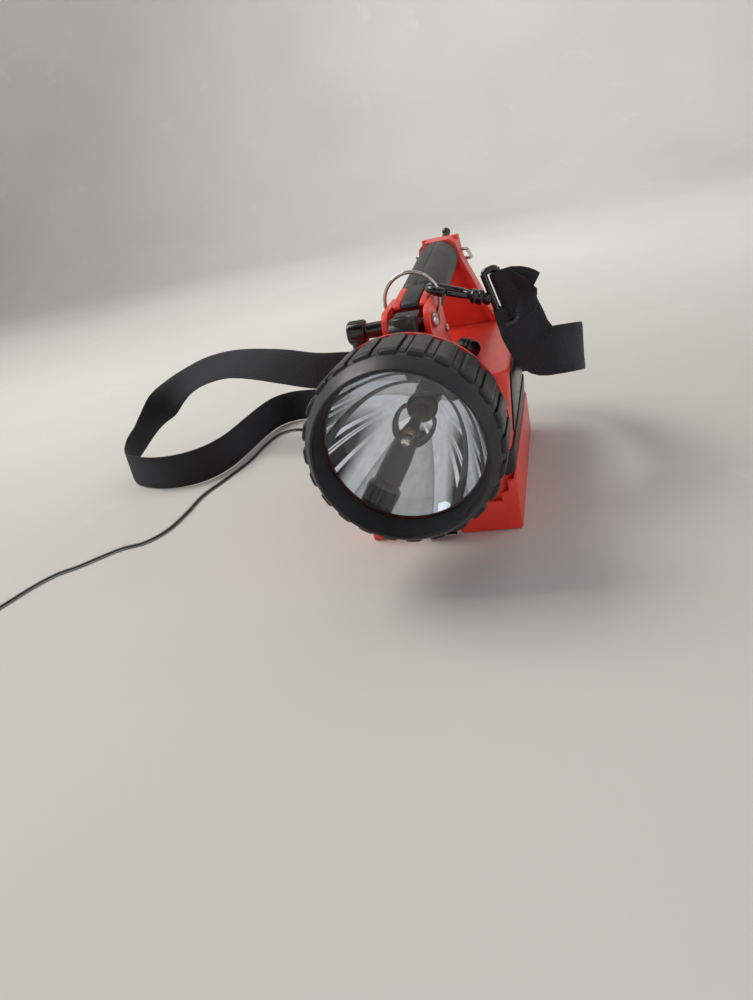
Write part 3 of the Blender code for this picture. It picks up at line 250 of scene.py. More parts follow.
def moulded(name, deep, pale, patch, grain, depth, roughness, extra=None):
    """A moulded skin: two close tones in soft patches, a fine tool grain and faint pale rubs.

    patch and grain are the sizes of the patches and of the grain, and depth is the grain's height.
    """
    material, tree, place = begin(name)
    patches = node(tree, "ShaderNodeTexNoise", {"Vector": place, "Scale": 1 / patch, "Detail": 3.0})
    share = node(tree, "ShaderNodeMapRange", {0: patches, 1: 0.35, 2: 0.70})
    rubs = node(
        tree, "ShaderNodeTexNoise", {"Vector": place, "Scale": 5 / patch, "Detail": 6.0, "Roughness": 0.7}
    )
    rubbed = node(tree, "ShaderNodeMapRange", {0: rubs, 1: 0.60, 2: 0.80, 4: 0.35})
    worn = tuple(min(1.0, channel * 1.25 + 0.010) for channel in pale)
    tone = node(tree, "ShaderNodeMix", {0: share, 6: (*deep, 1), 7: (*pale, 1)}, out=2, data_type="RGBA")
    base = node(tree, "ShaderNodeMix", {0: rubbed, 6: tone, 7: (*worn, 1)}, out=2, data_type="RGBA")
    fine = node(tree, "ShaderNodeTexNoise", {"Vector": place, "Scale": 1 / grain, "Detail": 2.0})
    normal = node(tree, "ShaderNodeBump", {"Height": fine, "Distance": depth})
    dull = node(
        tree, "ShaderNodeMapRange", {0: rubs, 1: 0.35, 2: 0.75, 3: roughness - 0.05, 4: roughness + 0.08}
    )
    return close(material, {"Base Color": base, "Roughness": dull, "Normal": normal, **(extra or {})})


def plated(name, deep, pale, mark, dullest, brightest):
    """A bare or plated metal: two close tones, and marks that change its shine."""
    material, tree, place = begin(name)
    marks = node(tree, "ShaderNodeTexNoise", {"Vector": place, "Scale": 1 / mark, "Detail": 5.0})
    base = node(tree, "ShaderNodeMix", {0: marks, 6: (*deep, 1), 7: (*pale, 1)}, out=2, data_type="RGBA")
    shine = node(tree, "ShaderNodeMapRange", {0: marks, 1: 0.3, 2: 0.8, 3: brightest, 4: dullest})
    normal = node(tree, "ShaderNodeBump", {"Height": marks, "Distance": 0.00002})
    return close(material, {"Base Color": base, "Metallic": 1.0, "Roughness": shine, "Normal": normal})


def orange_abs(colours):
    """Moulded ABS: saturated and softly glossy, with a little light passing into it at the edges."""
    glow = {"Subsurface Weight": 0.12, "Subsurface Radius": (0.004, 0.0012, 0.0006), "Subsurface Scale": 1.0}
    return moulded(
        "orange_abs", colours.body, tint("#EE4331"), 0.05, 0.0012, 0.00003, 0.36, {**glow, "IOR": 1.53}
    )


def ring_rubber(colours):
    """Compression-moulded rubber: blue-grey in the light and nearly black below, slightly dusty."""
    return moulded("ring_rubber", colours.rubber, tint("#17181C"), 0.03, 0.0009, 0.00003, 0.40)


def grip_elastomer(colours):
    """Soft-touch overmoulding: matt, fine-grained, a little lighter where hands wear it."""
    return moulded("grip_elastomer", colours.grip, tint("#2A2A2D"), 0.04, 0.0007, 0.00006, 0.50)


def gloss_nylon(colours):
    """Glass-filled nylon from a polished tool: black, with wet-looking highlights and flow marks."""
    coat = {"Coat Weight": 0.35, "Coat Roughness": 0.08}
    return moulded("gloss_nylon", colours.fittings, tint("#16171A"), 0.02, 0.0016, 0.00003, 0.20, coat)


def satin_nylon(colours):
    """The same nylon from an etched tool: black and half matt."""
    return moulded("satin_nylon", colours.fittings, tint("#1C1D20"), 0.02, 0.0008, 0.00004, 0.38)


def polyester_webbing(colours):
    """Woven polyester webbing: cross ribs of weft, lengthwise cords near both edges, soft sheen, and painted
    shade in the hollows between threads.
    """
    material, tree, _ = begin("polyester_webbing")
    weave = node(tree, "ShaderNodeUVMap", uv_map="weave")
    across = node(tree, "ShaderNodeSeparateXYZ", {0: weave}, out="X")
    along = across.node.outputs["Y"]
    # A rib each 1.3 mm and a cord each 1.7 mm, drawn a little coarse so that they show.
    rib_turns = node(tree, "ShaderNodeMath", {0: along, 1: 2 * math.pi / 0.0013}, operation="MULTIPLY")
    ribs = node(tree, "ShaderNodeMath", {0: rib_turns}, operation="SINE")
    cord_turns = node(tree, "ShaderNodeMath", {0: across, 1: 2 * math.pi / 0.0017}, operation="MULTIPLY")
    cords = node(tree, "ShaderNodeMath", {0: cord_turns}, operation="SINE")
    from_middle = node(tree, "ShaderNodeMath", {0: across}, operation="ABSOLUTE")
    edge = node(tree, "ShaderNodeMapRange", {0: from_middle, 1: 0.0114, 2: 0.0120})
    body = node(tree, "ShaderNodeMath", {0: cords, 1: 0.25, 2: ribs}, operation="MULTIPLY_ADD")
    threads = node(tree, "ShaderNodeMix", {0: edge, 2: body, 3: cords})
    fuzz = node(tree, "ShaderNodeTexNoise", {"Vector": weave, "Scale": 1200.0, "Detail": 4.0})
    height = node(tree, "ShaderNodeMath", {0: fuzz, 1: 0.7, 2: threads}, operation="MULTIPLY_ADD")
    normal = node(tree, "ShaderNodeBump", {"Height": height, "Distance": 0.00016})
    # Painted shade: the hollows of the weave are coloured near-black, and the crests keep the webbing's own
    # colour.
    unshaded_share = node(tree, "ShaderNodeMapRange", {0: threads, 1: -0.8, 2: 0.9})
    pale = (*colours.webbing, 1)
    weave_tone_with_painted_shade = node(tree, "ShaderNodeMix", {0: unshaded_share, 6: (*tint("#060608"), 1), 7: pale}, out=2, data_type="RGBA")
    wear = node(tree, "ShaderNodeTexNoise", {"Vector": weave, "Scale": 33.0, "Detail": 3.0})
    worn = node(tree, "ShaderNodeMapRange", {0: wear, 1: 0.45, 2: 0.80, 4: 0.6})
    faded = (*tint("#1A1A21"), 1)
    base = node(tree, "ShaderNodeMix", {0: worn, 6: weave_tone_with_painted_shade, 7: faded}, out=2, data_type="RGBA")
    sheen = {"Sheen Weight": 0.25, "Sheen Roughness": 0.45, "Sheen Tint": (*tint("#8A90A8"), 1)}
    return close(material, {"Base Color": base, "Roughness": 0.72, "Normal": normal, **sheen})


def bonded_thread(colours):
    """Bonded nylon thread, as stitched: dark, with a waxy shine."""
    return moulded("bonded_thread", colours.webbing, tint("#2E2E36"), 0.004, 0.0004, 0.00003, 0.45)


def bright_nickel(_):
    """Nickel plate on drawn wire: warm white metal with faint drawing lines and dull rubs."""
    return plated("bright_nickel", tint("#B3ADA4"), tint("#CFCBC4"), 0.0016, 0.34, 0.14)


def stamped_brass(_):
    """Bare stamped brass, slightly dulled."""
    return plated("stamped_brass", tint("#9C7A35"), tint("#C9A24A"), 0.0020, 0.45, 0.25)


def evaporated_aluminium(_):
    """Aluminium evaporated on a polished bowl: a clear mirror, with a faint haze of dust."""
    material, tree, place = begin("evaporated_aluminium")
    dust = node(tree, "ShaderNodeTexNoise", {"Vector": place, "Scale": 160.0, "Detail": 6.0})
    clean, dusty = (*tint("#F4F5F7"), 1), (*tint("#D2D4D8"), 1)
    base = node(tree, "ShaderNodeMix", {0: dust, 6: clean, 7: dusty}, out=2, data_type="RGBA")
    return close(material, {"Base Color": base, "Metallic": 1.0, "Roughness": 0.0})


def clear_polycarbonate(_):
    """Injection-moulded polycarbonate: clear and hard-coated, with a few smears."""
    material, tree, place = begin("clear_polycarbonate")
    smear = node(tree, "ShaderNodeTexNoise", {"Vector": place, "Scale": 80.0, "Detail": 5.0})
    shine = node(tree, "ShaderNodeMapRange", {0: smear, 1: 0.62, 2: 0.90, 4: 0.03})
    glass = {"Base Color": (*tint("#FBFCFD"), 1), "Transmission Weight": 1.0, "IOR": 1.58}
    return close(material, {**glass, "Roughness": shine})


def quartz_glass(_):
    """Quartz glass of the lamp's capsule, a little smoky."""
    material, tree, place = begin("quartz_glass")
    smoke = node(tree, "ShaderNodeTexNoise", {"Vector": place, "Scale": 330.0})
    clear, smoky = (*tint("#FFFFFF"), 1), (*tint("#EDE8DC"), 1)
    base = node(tree, "ShaderNodeMix", {0: smoke, 6: clear, 7: smoky}, out=2, data_type="RGBA")
    return close(material, {"Base Color": base, "Transmission Weight": 1.0, "IOR": 1.46, "Roughness": 0.0})


def lamp_cement(_):
    """The lamp's ceramic foot: brown-yellow, matt and speckled."""
    return moulded("lamp_cement", tint("#8A6A34"), tint("#A88A52"), 0.003, 0.0004, 0.00004, 0.55)


def seal_with_painted_red_reflection(_):
    """Silicone seal of the lens, behind the glass: its deep red is a painted reflection of the red body, seen
    round the lens edge.
    """
    return moulded("seal_with_painted_red_reflection", tint("#6A1018"), tint("#8C1A1E"), 0.010, 0.0008, 0.00003, 0.40)


def polyester_film(colours):
    """Printed polyester film on the side plates: satin black."""
    return moulded("polyester_film", colours.fittings, tint("#1A1A1C"), 0.03, 0.0006, 0.00002, 0.30)


def twin_lead_pvc(colours):
    """PVC twin lead: black and softly shiny, with a painted highlight: a pale line along the top of one core.
    """
    material, tree, place = begin("twin_lead_pvc")
    weave = node(tree, "ShaderNodeUVMap", uv_map="weave")
    around = node(tree, "ShaderNodeSeparateXYZ", {0: weave}, out="X")
    # Painted highlight: a narrow pale band round the weave map's place 0.0021, on the top of one core.
    off = node(tree, "ShaderNodeMath", {0: around, 1: 0.0021}, operation="SUBTRACT")
    off = node(tree, "ShaderNodeMath", {0: off}, operation="ABSOLUTE")
    painted_highlight_share = node(tree, "ShaderNodeMapRange", {0: off, 1: 0.0003, 2: 0.0005, 3: 1.0, 4: 0.0})
    dust = node(tree, "ShaderNodeTexNoise", {"Vector": place, "Scale": 250.0, "Detail": 4.0})
    deep, pale = (*colours.lead, 1), (*tint("#1B1B1D"), 1)
    skin_tone = node(tree, "ShaderNodeMix", {0: dust, 6: deep, 7: pale}, out=2, data_type="RGBA")
    # The colour of the painted highlight line.
    line = (*tint("#B9B4AA"), 1)
    base = node(tree, "ShaderNodeMix", {0: painted_highlight_share, 6: skin_tone, 7: line}, out=2, data_type="RGBA")
    shine = node(tree, "ShaderNodeMapRange", {0: dust, 1: 0.3, 2: 0.8, 3: 0.34, 4: 0.52})
    normal = node(tree, "ShaderNodeBump", {"Height": dust, "Distance": 0.00003})
    return close(material, {"Base Color": base, "Roughness": shine, "Normal": normal})


def battery_abs(_):
    """The battery's moulded case: dark grey ABS, half matt."""
    return moulded("battery_abs", tint("#2B2C2E"), tint("#3A3B3D"), 0.03, 0.0010, 0.00003, 0.45)


def cell_foam(_):
    """Closed-cell foam: matt, with cells about 1.4 mm across."""
    return moulded("cell_foam", tint("#1D1D1E"), tint("#2C2C2D"), 0.006, 0.0014, 0.00025, 0.90)


def board_laminate(_):
    """Glass-epoxy board under green solder resist."""
    return moulded("board_laminate", tint("#0E4A26"), tint("#12602F"), 0.004, 0.0006, 0.00002, 0.35)


def studio_cloth(_):
    """The stage: a pale undyed tone, matt."""
    return moulded(
        "studio_cloth", tint("#C8C6C1"), tint("#D2D0CB"), 0.8, 0.002, 0.00001, 0.88,
        {"Specular IOR Level": 0.2},
    )


MAKERS = {
    "orange_plastic": orange_abs,
    "black_rubber": ring_rubber,
    "grip_rubber": grip_elastomer,
    "black_plastic": satin_nylon,
    "strap_webbing": polyester_webbing,
    "nickel_steel": bright_nickel,
    "contact_brass": stamped_brass,
    "reflector_mirror": evaporated_aluminium,
    "clear_lens": clear_polycarbonate,
    "lamp_ceramic": lamp_cement,
    "battery_case": battery_abs,
    "foam_pad": cell_foam,
    "circuit_board": board_laminate,
    "lead_insulation": twin_lead_pvc,
    "gloss": gloss_nylon,
    "thread": bonded_thread,
    "capsule": quartz_glass,
    "seal": seal_with_painted_red_reflection,
    "film": polyester_film,
    "stage": studio_cloth,
}
made_materials = {}


def material_of(name):
    """The finish of this name, made once."""
    if name not in made_materials:
        made_materials[name] = MAKERS[name](bpy.context.scene.lantern_colours)
    return made_materials[name]


# ---------------------------------------------------------------- shapes


def side_and_up(axis):
    """Two directions square to an axis."""
    axis = axis.normalized()
    helper = Z_AXIS if abs(axis.z) < 0.9 else X_AXIS
    side = axis.cross(helper).normalized()
    return side, axis.cross(side)


def skin(rings, loop=False, spread=None):
    """A closed mesh over rings of the same number of points. A ring of one repeated point is a pole.

    spread is (places round a ring, places along), in metres, and becomes the UV map "weave".
    """
    shape = bmesh.new()
    rows = [[shape.verts.new(point) for point in ring] for ring in rings]
    count = len(rings[0])
    pairs = [(row, row + 1) for row in range(len(rows) - 1)]
    if loop:
        pairs.append((len(rows) - 1, 0))
    layer = shape.loops.layers.uv.new("weave") if spread else None
    for first, second in pairs:
        for step in range(count):
            after = (step + 1) % count
            corners = (rows[first][step], rows[first][after], rows[second][after], rows[second][step])
            face = shape.faces.new(corners)
            if layer:
                round_places, long_places = spread
                far = long_places[second] if second else long_places[-1]
                places = (
                    (round_places[step], long_places[first]),
                    (round_places[step + 1], long_places[first]),
                    (round_places[step + 1], far),
                    (round_places[step], far),
                )
                for corner, place in zip(face.loops, places):
                    corner[layer].uv = place
    if not loop:
        for row in (rows[0], rows[-1]):
            if (row[0].co - row[count // 2].co).length > 1e-6:
                shape.faces.new(row)
    bmesh.ops.remove_doubles(shape, verts=shape.verts, dist=1e-6)
    bmesh.ops.recalc_face_normals(shape, faces=shape.faces)
    return shape


def piece(name, shape, finish, body, stands_for=(), sharp=35.0):
    """Turns a bmesh into a finished piece that rides on a body."""
    return settle(bpy.data.objects.new(name, mesh_of(shape, name)), finish, body, stands_for, sharp)


def settle(obj, finish, body, stands_for=(), sharp=35.0):
    """Gives a mesh object its finish, shading and body, and hides the nodes that it stands for."""
    if obj.name not in bpy.context.scene.collection.objects:
        bpy.context.scene.collection.objects.link(obj)
    obj.data.materials.clear()
    obj.data.materials.append(material_of(finish))
    obj.data.shade_smooth()
    obj.data.set_sharp_from_angle(angle=math.radians(sharp))
    if body:
        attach(obj, body)
    if stands_for:
        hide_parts(*stands_for)
    return obj


def circle(middle, axis, radius, steps):
    """Points of a circle round an axis."""
    side, up = side_and_up(axis)
    turn = 2 * math.pi / steps
    return [
        middle + radius * (math.cos(turn * step) * side + math.sin(turn * step) * up)
        for step in range(steps)
    ]


def turned(profile, start, axis, steps=96):
    """A turned shape. The profile is (radius, along) and closes on itself, unless both ends are on the axis."""
    axis = axis.normalized()
    rings = [circle(start + axis * along, axis, max(radius, 0.0), steps) for radius, along in profile]
    solid = profile[0][0] == 0.0 and profile[-1][0] == 0.0
    return skin(rings, loop=not solid)


def rounded(points, radius, steps=4):
    """A profile with its corners rounded, each by up to this radius. Its two ends stay."""
    made = [points[0]]
    for before, corner, after in zip(points, points[1:], points[2:]):
        before, corner, after = Vector(before), Vector(corner), Vector(after)
        near = min(radius, (before - corner).length * 0.45, (after - corner).length * 0.45)
        start = corner + (before - corner).normalized() * near
        end = corner + (after - corner).normalized() * near
        for step in range(steps + 1):
            share = step / steps
            first, second = start.lerp(corner, share), corner.lerp(end, share)
            made.append(tuple(first.lerp(second, share)))
    made.append(points[-1])
    return made


def flowing(points, spacing, closed=False):
    """Points at even steps on a smooth curve through these points, of any number of values each."""
    points = [Vector(point) for point in points]
    if closed:
        ends = [points[-1], *points, points[0], points[1]]
    else:
        ends = [2 * points[0] - points[1], *points, 2 * points[-1] - points[-2]]
    dense = []
    for before, start, end, after in zip(ends, ends[1:], ends[2:], ends[3:]):
        for step in range(24):
            t = step / 24
            pull = (end - before) * t
            bend = (2 * before - 5 * start + 4 * end - after) * t * t
            twist = (3 * start - before - 3 * end + after) * t * t * t
            dense.append(0.5 * (2 * start + pull + bend + twist))
    dense.append(points[0] if closed else points[-1])
    lengths = [0.0]
    for start, end in zip(dense, dense[1:]):
        lengths.append(lengths[-1] + (Vector(end[:3]) - Vector(start[:3])).length)
    count = max(2, round(lengths[-1] / spacing))
    made, index = [], 0
    for step in range(count + 1):
        wanted = lengths[-1] * step / count
        while index < len(dense) - 2 and lengths[index + 1] < wanted:
            index += 1
        gap = lengths[index + 1] - lengths[index]
        made.append(
            dense[index].lerp(dense[index + 1], min(1.0, (wanted - lengths[index]) / gap if gap else 0.0))
        )
    return made[:-1] if closed else made


def flowing_profile(points):
    """A profile's points on a smooth curve."""
    return [(point[0], point[1]) for point in flowing([(*point, 0.0) for point in points], 0.0018)]


def frames_along(points, side=None, closed=False):
    """Each point with its direction, and a side and an up carried along without twist."""
    made = []
    count = len(points)
    for index, point in enumerate(points):
        before = points[index - 1] if index or closed else point
        after = points[(index + 1) % count] if index < count - 1 or closed else point
        along = (after - before).normalized()
        side = side_and_up(along)[0] if side is None else side
        side = (side - along * side.dot(along)).normalized()
        made.append((point, along, side, along.cross(side)))
    return made


def tube_rings(points, radii, sides=16, side=None, closed=False, flat=1.0):
    """Rings of a round bar along points, flattened by a share in its up direction."""
    rings = []
    for index, (point, _, across, up) in enumerate(frames_along(points, side, closed)):
        radius = radii[index] if hasattr(radii, "__len__") else radii
        ring = []
        for step in range(sides):
            angle = 2 * math.pi * step / sides
            ring.append(point + radius * (math.cos(angle) * across + flat * math.sin(angle) * up))
        rings.append(ring)
    return rings


def domed(rings):
    """Rings with both ends drawn in, so that a bar ends in a soft dome."""

    def drawn(ring, inner, share, depth):
        middle = sum(ring, Vector()) / len(ring)
        size = max((point - middle).length for point in ring)
        push = (middle - sum(inner, Vector()) / len(inner)).normalized() * size * depth
        return [middle + (point - middle) * share + push for point in ring]

    steps = ((0.5, 0.42), (0.85, 0.24))
    first = [drawn(rings[0], rings[1], share, depth) for share, depth in steps]
    last = [drawn(rings[-1], rings[-2], share, depth) for share, depth in reversed(steps)]
    return [*first, *rings, *last]


def softened(obj, width, segments=3):
    """Rounds the sharp edges with a bevel, and makes it part of the mesh."""
    bevel = obj.modifiers.new("soften", "BEVEL")
    bevel.width = width
    bevel.segments = segments
    bevel.limit_method = "ANGLE"
    bevel.angle_limit = math.radians(30)
    bevel.use_clamp_overlap = True
    bevel.miter_outer = "MITER_ARC"
    return baked(obj)


def eased(shape, width, segments):
    """A bmesh with its sharp edges rounded."""
    obj = softened(bpy.data.objects.new("eased", mesh_of(shape)), width, segments)
    shape = bmesh.new()
    shape.from_mesh(obj.data)
    bpy.data.objects.remove(obj)
    return shape


def baked(obj):
    """Makes an object's modifiers part of its mesh."""
    if obj.name not in bpy.context.scene.collection.objects:
        bpy.context.scene.collection.objects.link(obj)
    graph = bpy.context.evaluated_depsgraph_get()
    graph.update()
    mesh = bpy.data.meshes.new_from_object(obj.evaluated_get(graph))
    obj.modifiers.clear()
    old, obj.data = obj.data, mesh
    bpy.data.meshes.remove(old)
    return obj


def refined(name, source, finish, width, segments=3, matrix=None):
    """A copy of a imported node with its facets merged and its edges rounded, standing for that node."""
    node_object = frame["nodes"][source]
    shape = bmesh.new()
    shape.from_mesh(node_object.data)
    bmesh.ops.remove_doubles(shape, verts=shape.verts, dist=1e-5)
    bmesh.ops.dissolve_limit(shape, angle_limit=math.radians(1.5), verts=shape.verts, edges=shape.edges)
    if matrix is not None:
        shape.transform(matrix)
    obj = softened(bpy.data.objects.new(name, mesh_of(shape, name)), width, segments)
    return settle(obj, finish, node_object["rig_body"], (source,))


def joined(*shapes):
    """One bmesh that holds all of these."""
    whole = bmesh.new()
    for shape in shapes:
        whole.from_mesh(mesh_of(shape))
    return whole


def slab(outline, place, low, high):
    """A straight prism: outline points, a function that places (first, second, level), and two levels."""
    return skin([[place(first, second, level) for first, second in outline] for level in (low, high)])


# ---------------------------------------------------------------- repeats, as Geometry Nodes


def new_tree(name, sizes):
    """An empty Geometry Nodes tree with these named inputs (name: (kind, default)), and its inputs."""
    tree = bpy.data.node_groups.new(name, "GeometryNodeTree")
    tree.interface.new_socket("Geometry", in_out="INPUT", socket_type="NodeSocketGeometry")
    for label, (kind, default) in sizes.items():
        tree.interface.new_socket(label, in_out="INPUT", socket_type=kind).default_value = default
    tree.interface.new_socket("Geometry", in_out="OUTPUT", socket_type="NodeSocketGeometry")
    return tree, node(tree, "NodeGroupInput").node.outputs


def end_tree(tree, copies, finish):
    """Realises the copies and gives them their material."""
    solid = node(tree, "GeometryNodeRealizeInstances", {"Geometry": copies})
    painted = node(tree, "GeometryNodeSetMaterial", {"Geometry": solid, "Material": material_of(finish)})
    node(tree, "NodeGroupOutput", {"Geometry": painted})


def round_tree(finish):
    """Copies a shape at equal steps round its own Y axis."""
    tree, given = new_tree("repeat_round", {"Count": ("NodeSocketInt", 24), "Start": ("NodeSocketFloat", 0.0)})
    points = node(tree, "GeometryNodePoints", {"Count": given["Count"]})
    step = node(tree, "ShaderNodeMath", {0: 2 * math.pi, 1: given["Count"]}, operation="DIVIDE")
    index = node(tree, "GeometryNodeInputIndex")
    angle = node(tree, "ShaderNodeMath", {0: index, 1: step, 2: given["Start"]}, operation="MULTIPLY_ADD")
    turn = node(tree, "ShaderNodeCombineXYZ", {"Y": angle})
    facing = node(tree, "FunctionNodeEulerToRotation", {0: turn})
    inputs = {"Points": points, "Instance": given["Geometry"], "Rotation": facing}
    end_tree(tree, node(tree, "GeometryNodeInstanceOnPoints", inputs), finish)
    return tree


def placed_tree(finish, copy):
    """Puts a copy of an object on each point, its Z along "facing" and its X along "heading"."""
    tree, given = new_tree("repeat_placed", {"Size": ("NodeSocketFloat", 1.0)})
    facing = node(tree, "GeometryNodeInputNamedAttribute", {"Name": "facing"}, data_type="FLOAT_VECTOR")
    heading = node(tree, "GeometryNodeInputNamedAttribute", {"Name": "heading"}, data_type="FLOAT_VECTOR")
    upright = node(tree, "FunctionNodeAlignRotationToVector", {"Vector": facing}, axis="Z")
    turned_to = node(
        tree, "FunctionNodeAlignRotationToVector", {
            "Rotation": upright, "Vector": heading
        }, axis="X", pivot_axis="Z"
    )
    source = node(tree, "GeometryNodeObjectInfo", {"Object": copy}, out="Geometry")
    inputs = {"Points": given["Geometry"], "Instance": source, "Rotation": turned_to, "Scale": given["Size"]}
    end_tree(tree, node(tree, "GeometryNodeInstanceOnPoints", inputs), finish)
    return tree


def run_tree(mesh, tree, values):
    """Runs a tree on a mesh with these named inputs, and returns the result as a bmesh."""
    obj = bpy.data.objects.new("repeat", mesh)
    modifier = obj.modifiers.new("repeat", "NODES")
    modifier.node_group = tree
    keys = {item.name: item.identifier for item in tree.interface.items_tree if item.in_out == "INPUT"}
    for name, value in values.items():
        modifier[keys[name]] = value
    baked(obj)
    shape = bmesh.new()
    shape.from_mesh(obj.data)
    bpy.data.objects.remove(obj)
    return shape


def mesh_of(shape, name="part"):
    """A bmesh as a mesh. The bmesh goes."""
    mesh = bpy.data.meshes.new(name)
    shape.to_mesh(mesh)
    shape.free()
    return mesh


def copied_round(shape, count, matrix, finish, start=0.0):
    """Copies a shape, modelled round the Y axis, then moves the whole ring by a matrix."""
    ring = run_tree(mesh_of(shape), round_tree(finish), {"Count": count, "Start": start})
    ring.transform(matrix)
    return ring


def copied_to(shape, places, finish, size=1.0):
    """Copies a shape, modelled up the Z axis, to each (point, facing, heading)."""
    copy = bpy.data.objects.new("copy", mesh_of(shape))
    bpy.context.scene.collection.objects.link(copy)
    spots = bpy.data.meshes.new("spots")
    spots.from_pydata([place[0] for place in places], [], [])
    for index, name in ((1, "facing"), (2, "heading")):
        layer = spots.attributes.new(name, "FLOAT_VECTOR", "POINT")
        layer.data.foreach_set("vector", [value for place in places for value in place[index]])
    result = run_tree(spots, placed_tree(finish, copy), {"Size": size})
    bpy.data.objects.remove(copy)
    return result


# ---------------------------------------------------------------- settings


def colour(name, description, code):
    return FloatVectorProperty(
        name=name, description=description, default=tint(code), subtype="COLOR", size=3, min=0.0, max=1.0
    )


def length(name, description, default):
    return FloatProperty(
        name=name, description=description, default=default, min=0.0, unit="LENGTH", precision=5
    )


class LanternColours(bpy.types.PropertyGroup):
    """The colours that a user would change"""

    body: colour("Body", "Moulded case, handle and head", "#DA3022")
    rubber: colour("Rubber", "Lamp ring and case belt", "#0C0D10")
    grip: colour("Grip", "Soft cover of the handle", "#262627")
    fittings: colour("Fittings", "Hooks, knob, plates and caps", "#0A0A0C")
    webbing: colour("Webbing", "Shoulder strap", "#14141A")
    lead: colour("Lead", "Charging lead", "#0B0B0D")


class LanternSizes(bpy.types.PropertyGroup):
    """The sizes that a user would change"""

    blocks: IntProperty(name="Ring blocks", description="Grip blocks round the lamp ring", default=24, min=6)
    block_height: length("Block height", "How far a block stands off its neighbour", 0.0013)
    strap_width: length("Strap width", "Width of the webbing", 0.036)
    strap_thick: length("Strap thickness", "Thickness of the webbing", 0.0018)
    stitch: length("Stitch length", "Length of one stitch", 0.0032)
    lead_width: length("Lead width", "Width of the twin lead", 0.0036)
    lead_thick: length("Lead thickness", "Thickness of the twin lead", 0.0021)
    lead_turns: IntProperty(name="Coil turns", description="Turns in the stored coil of lead", default=8, min=2)
    knob_ribs: IntProperty(name="Knob ribs", description="Ribs round the tilt knob's hub", default=14, min=6)
    edge: length("Moulded edge", "Radius of the moulded edges", 0.0009)


def sizes():
    return bpy.context.scene.lantern_sizes


# ---------------------------------------------------------------- stage, lights and camera


def area_light(name, place, target, size, watts, code):
    """A square soft box that faces a target."""
    light = bpy.data.lights.new(name, "AREA")
    light.shape = "SQUARE"
    light.size = size
    light.energy = watts
    light.color = tint(code)
    obj = bpy.data.objects.new(name, light)
    obj.location = place
    obj.rotation_euler = (Vector(target) - Vector(place)).to_track_quat("-Z", "Y").to_euler()
    bpy.context.scene.collection.objects.link(obj)


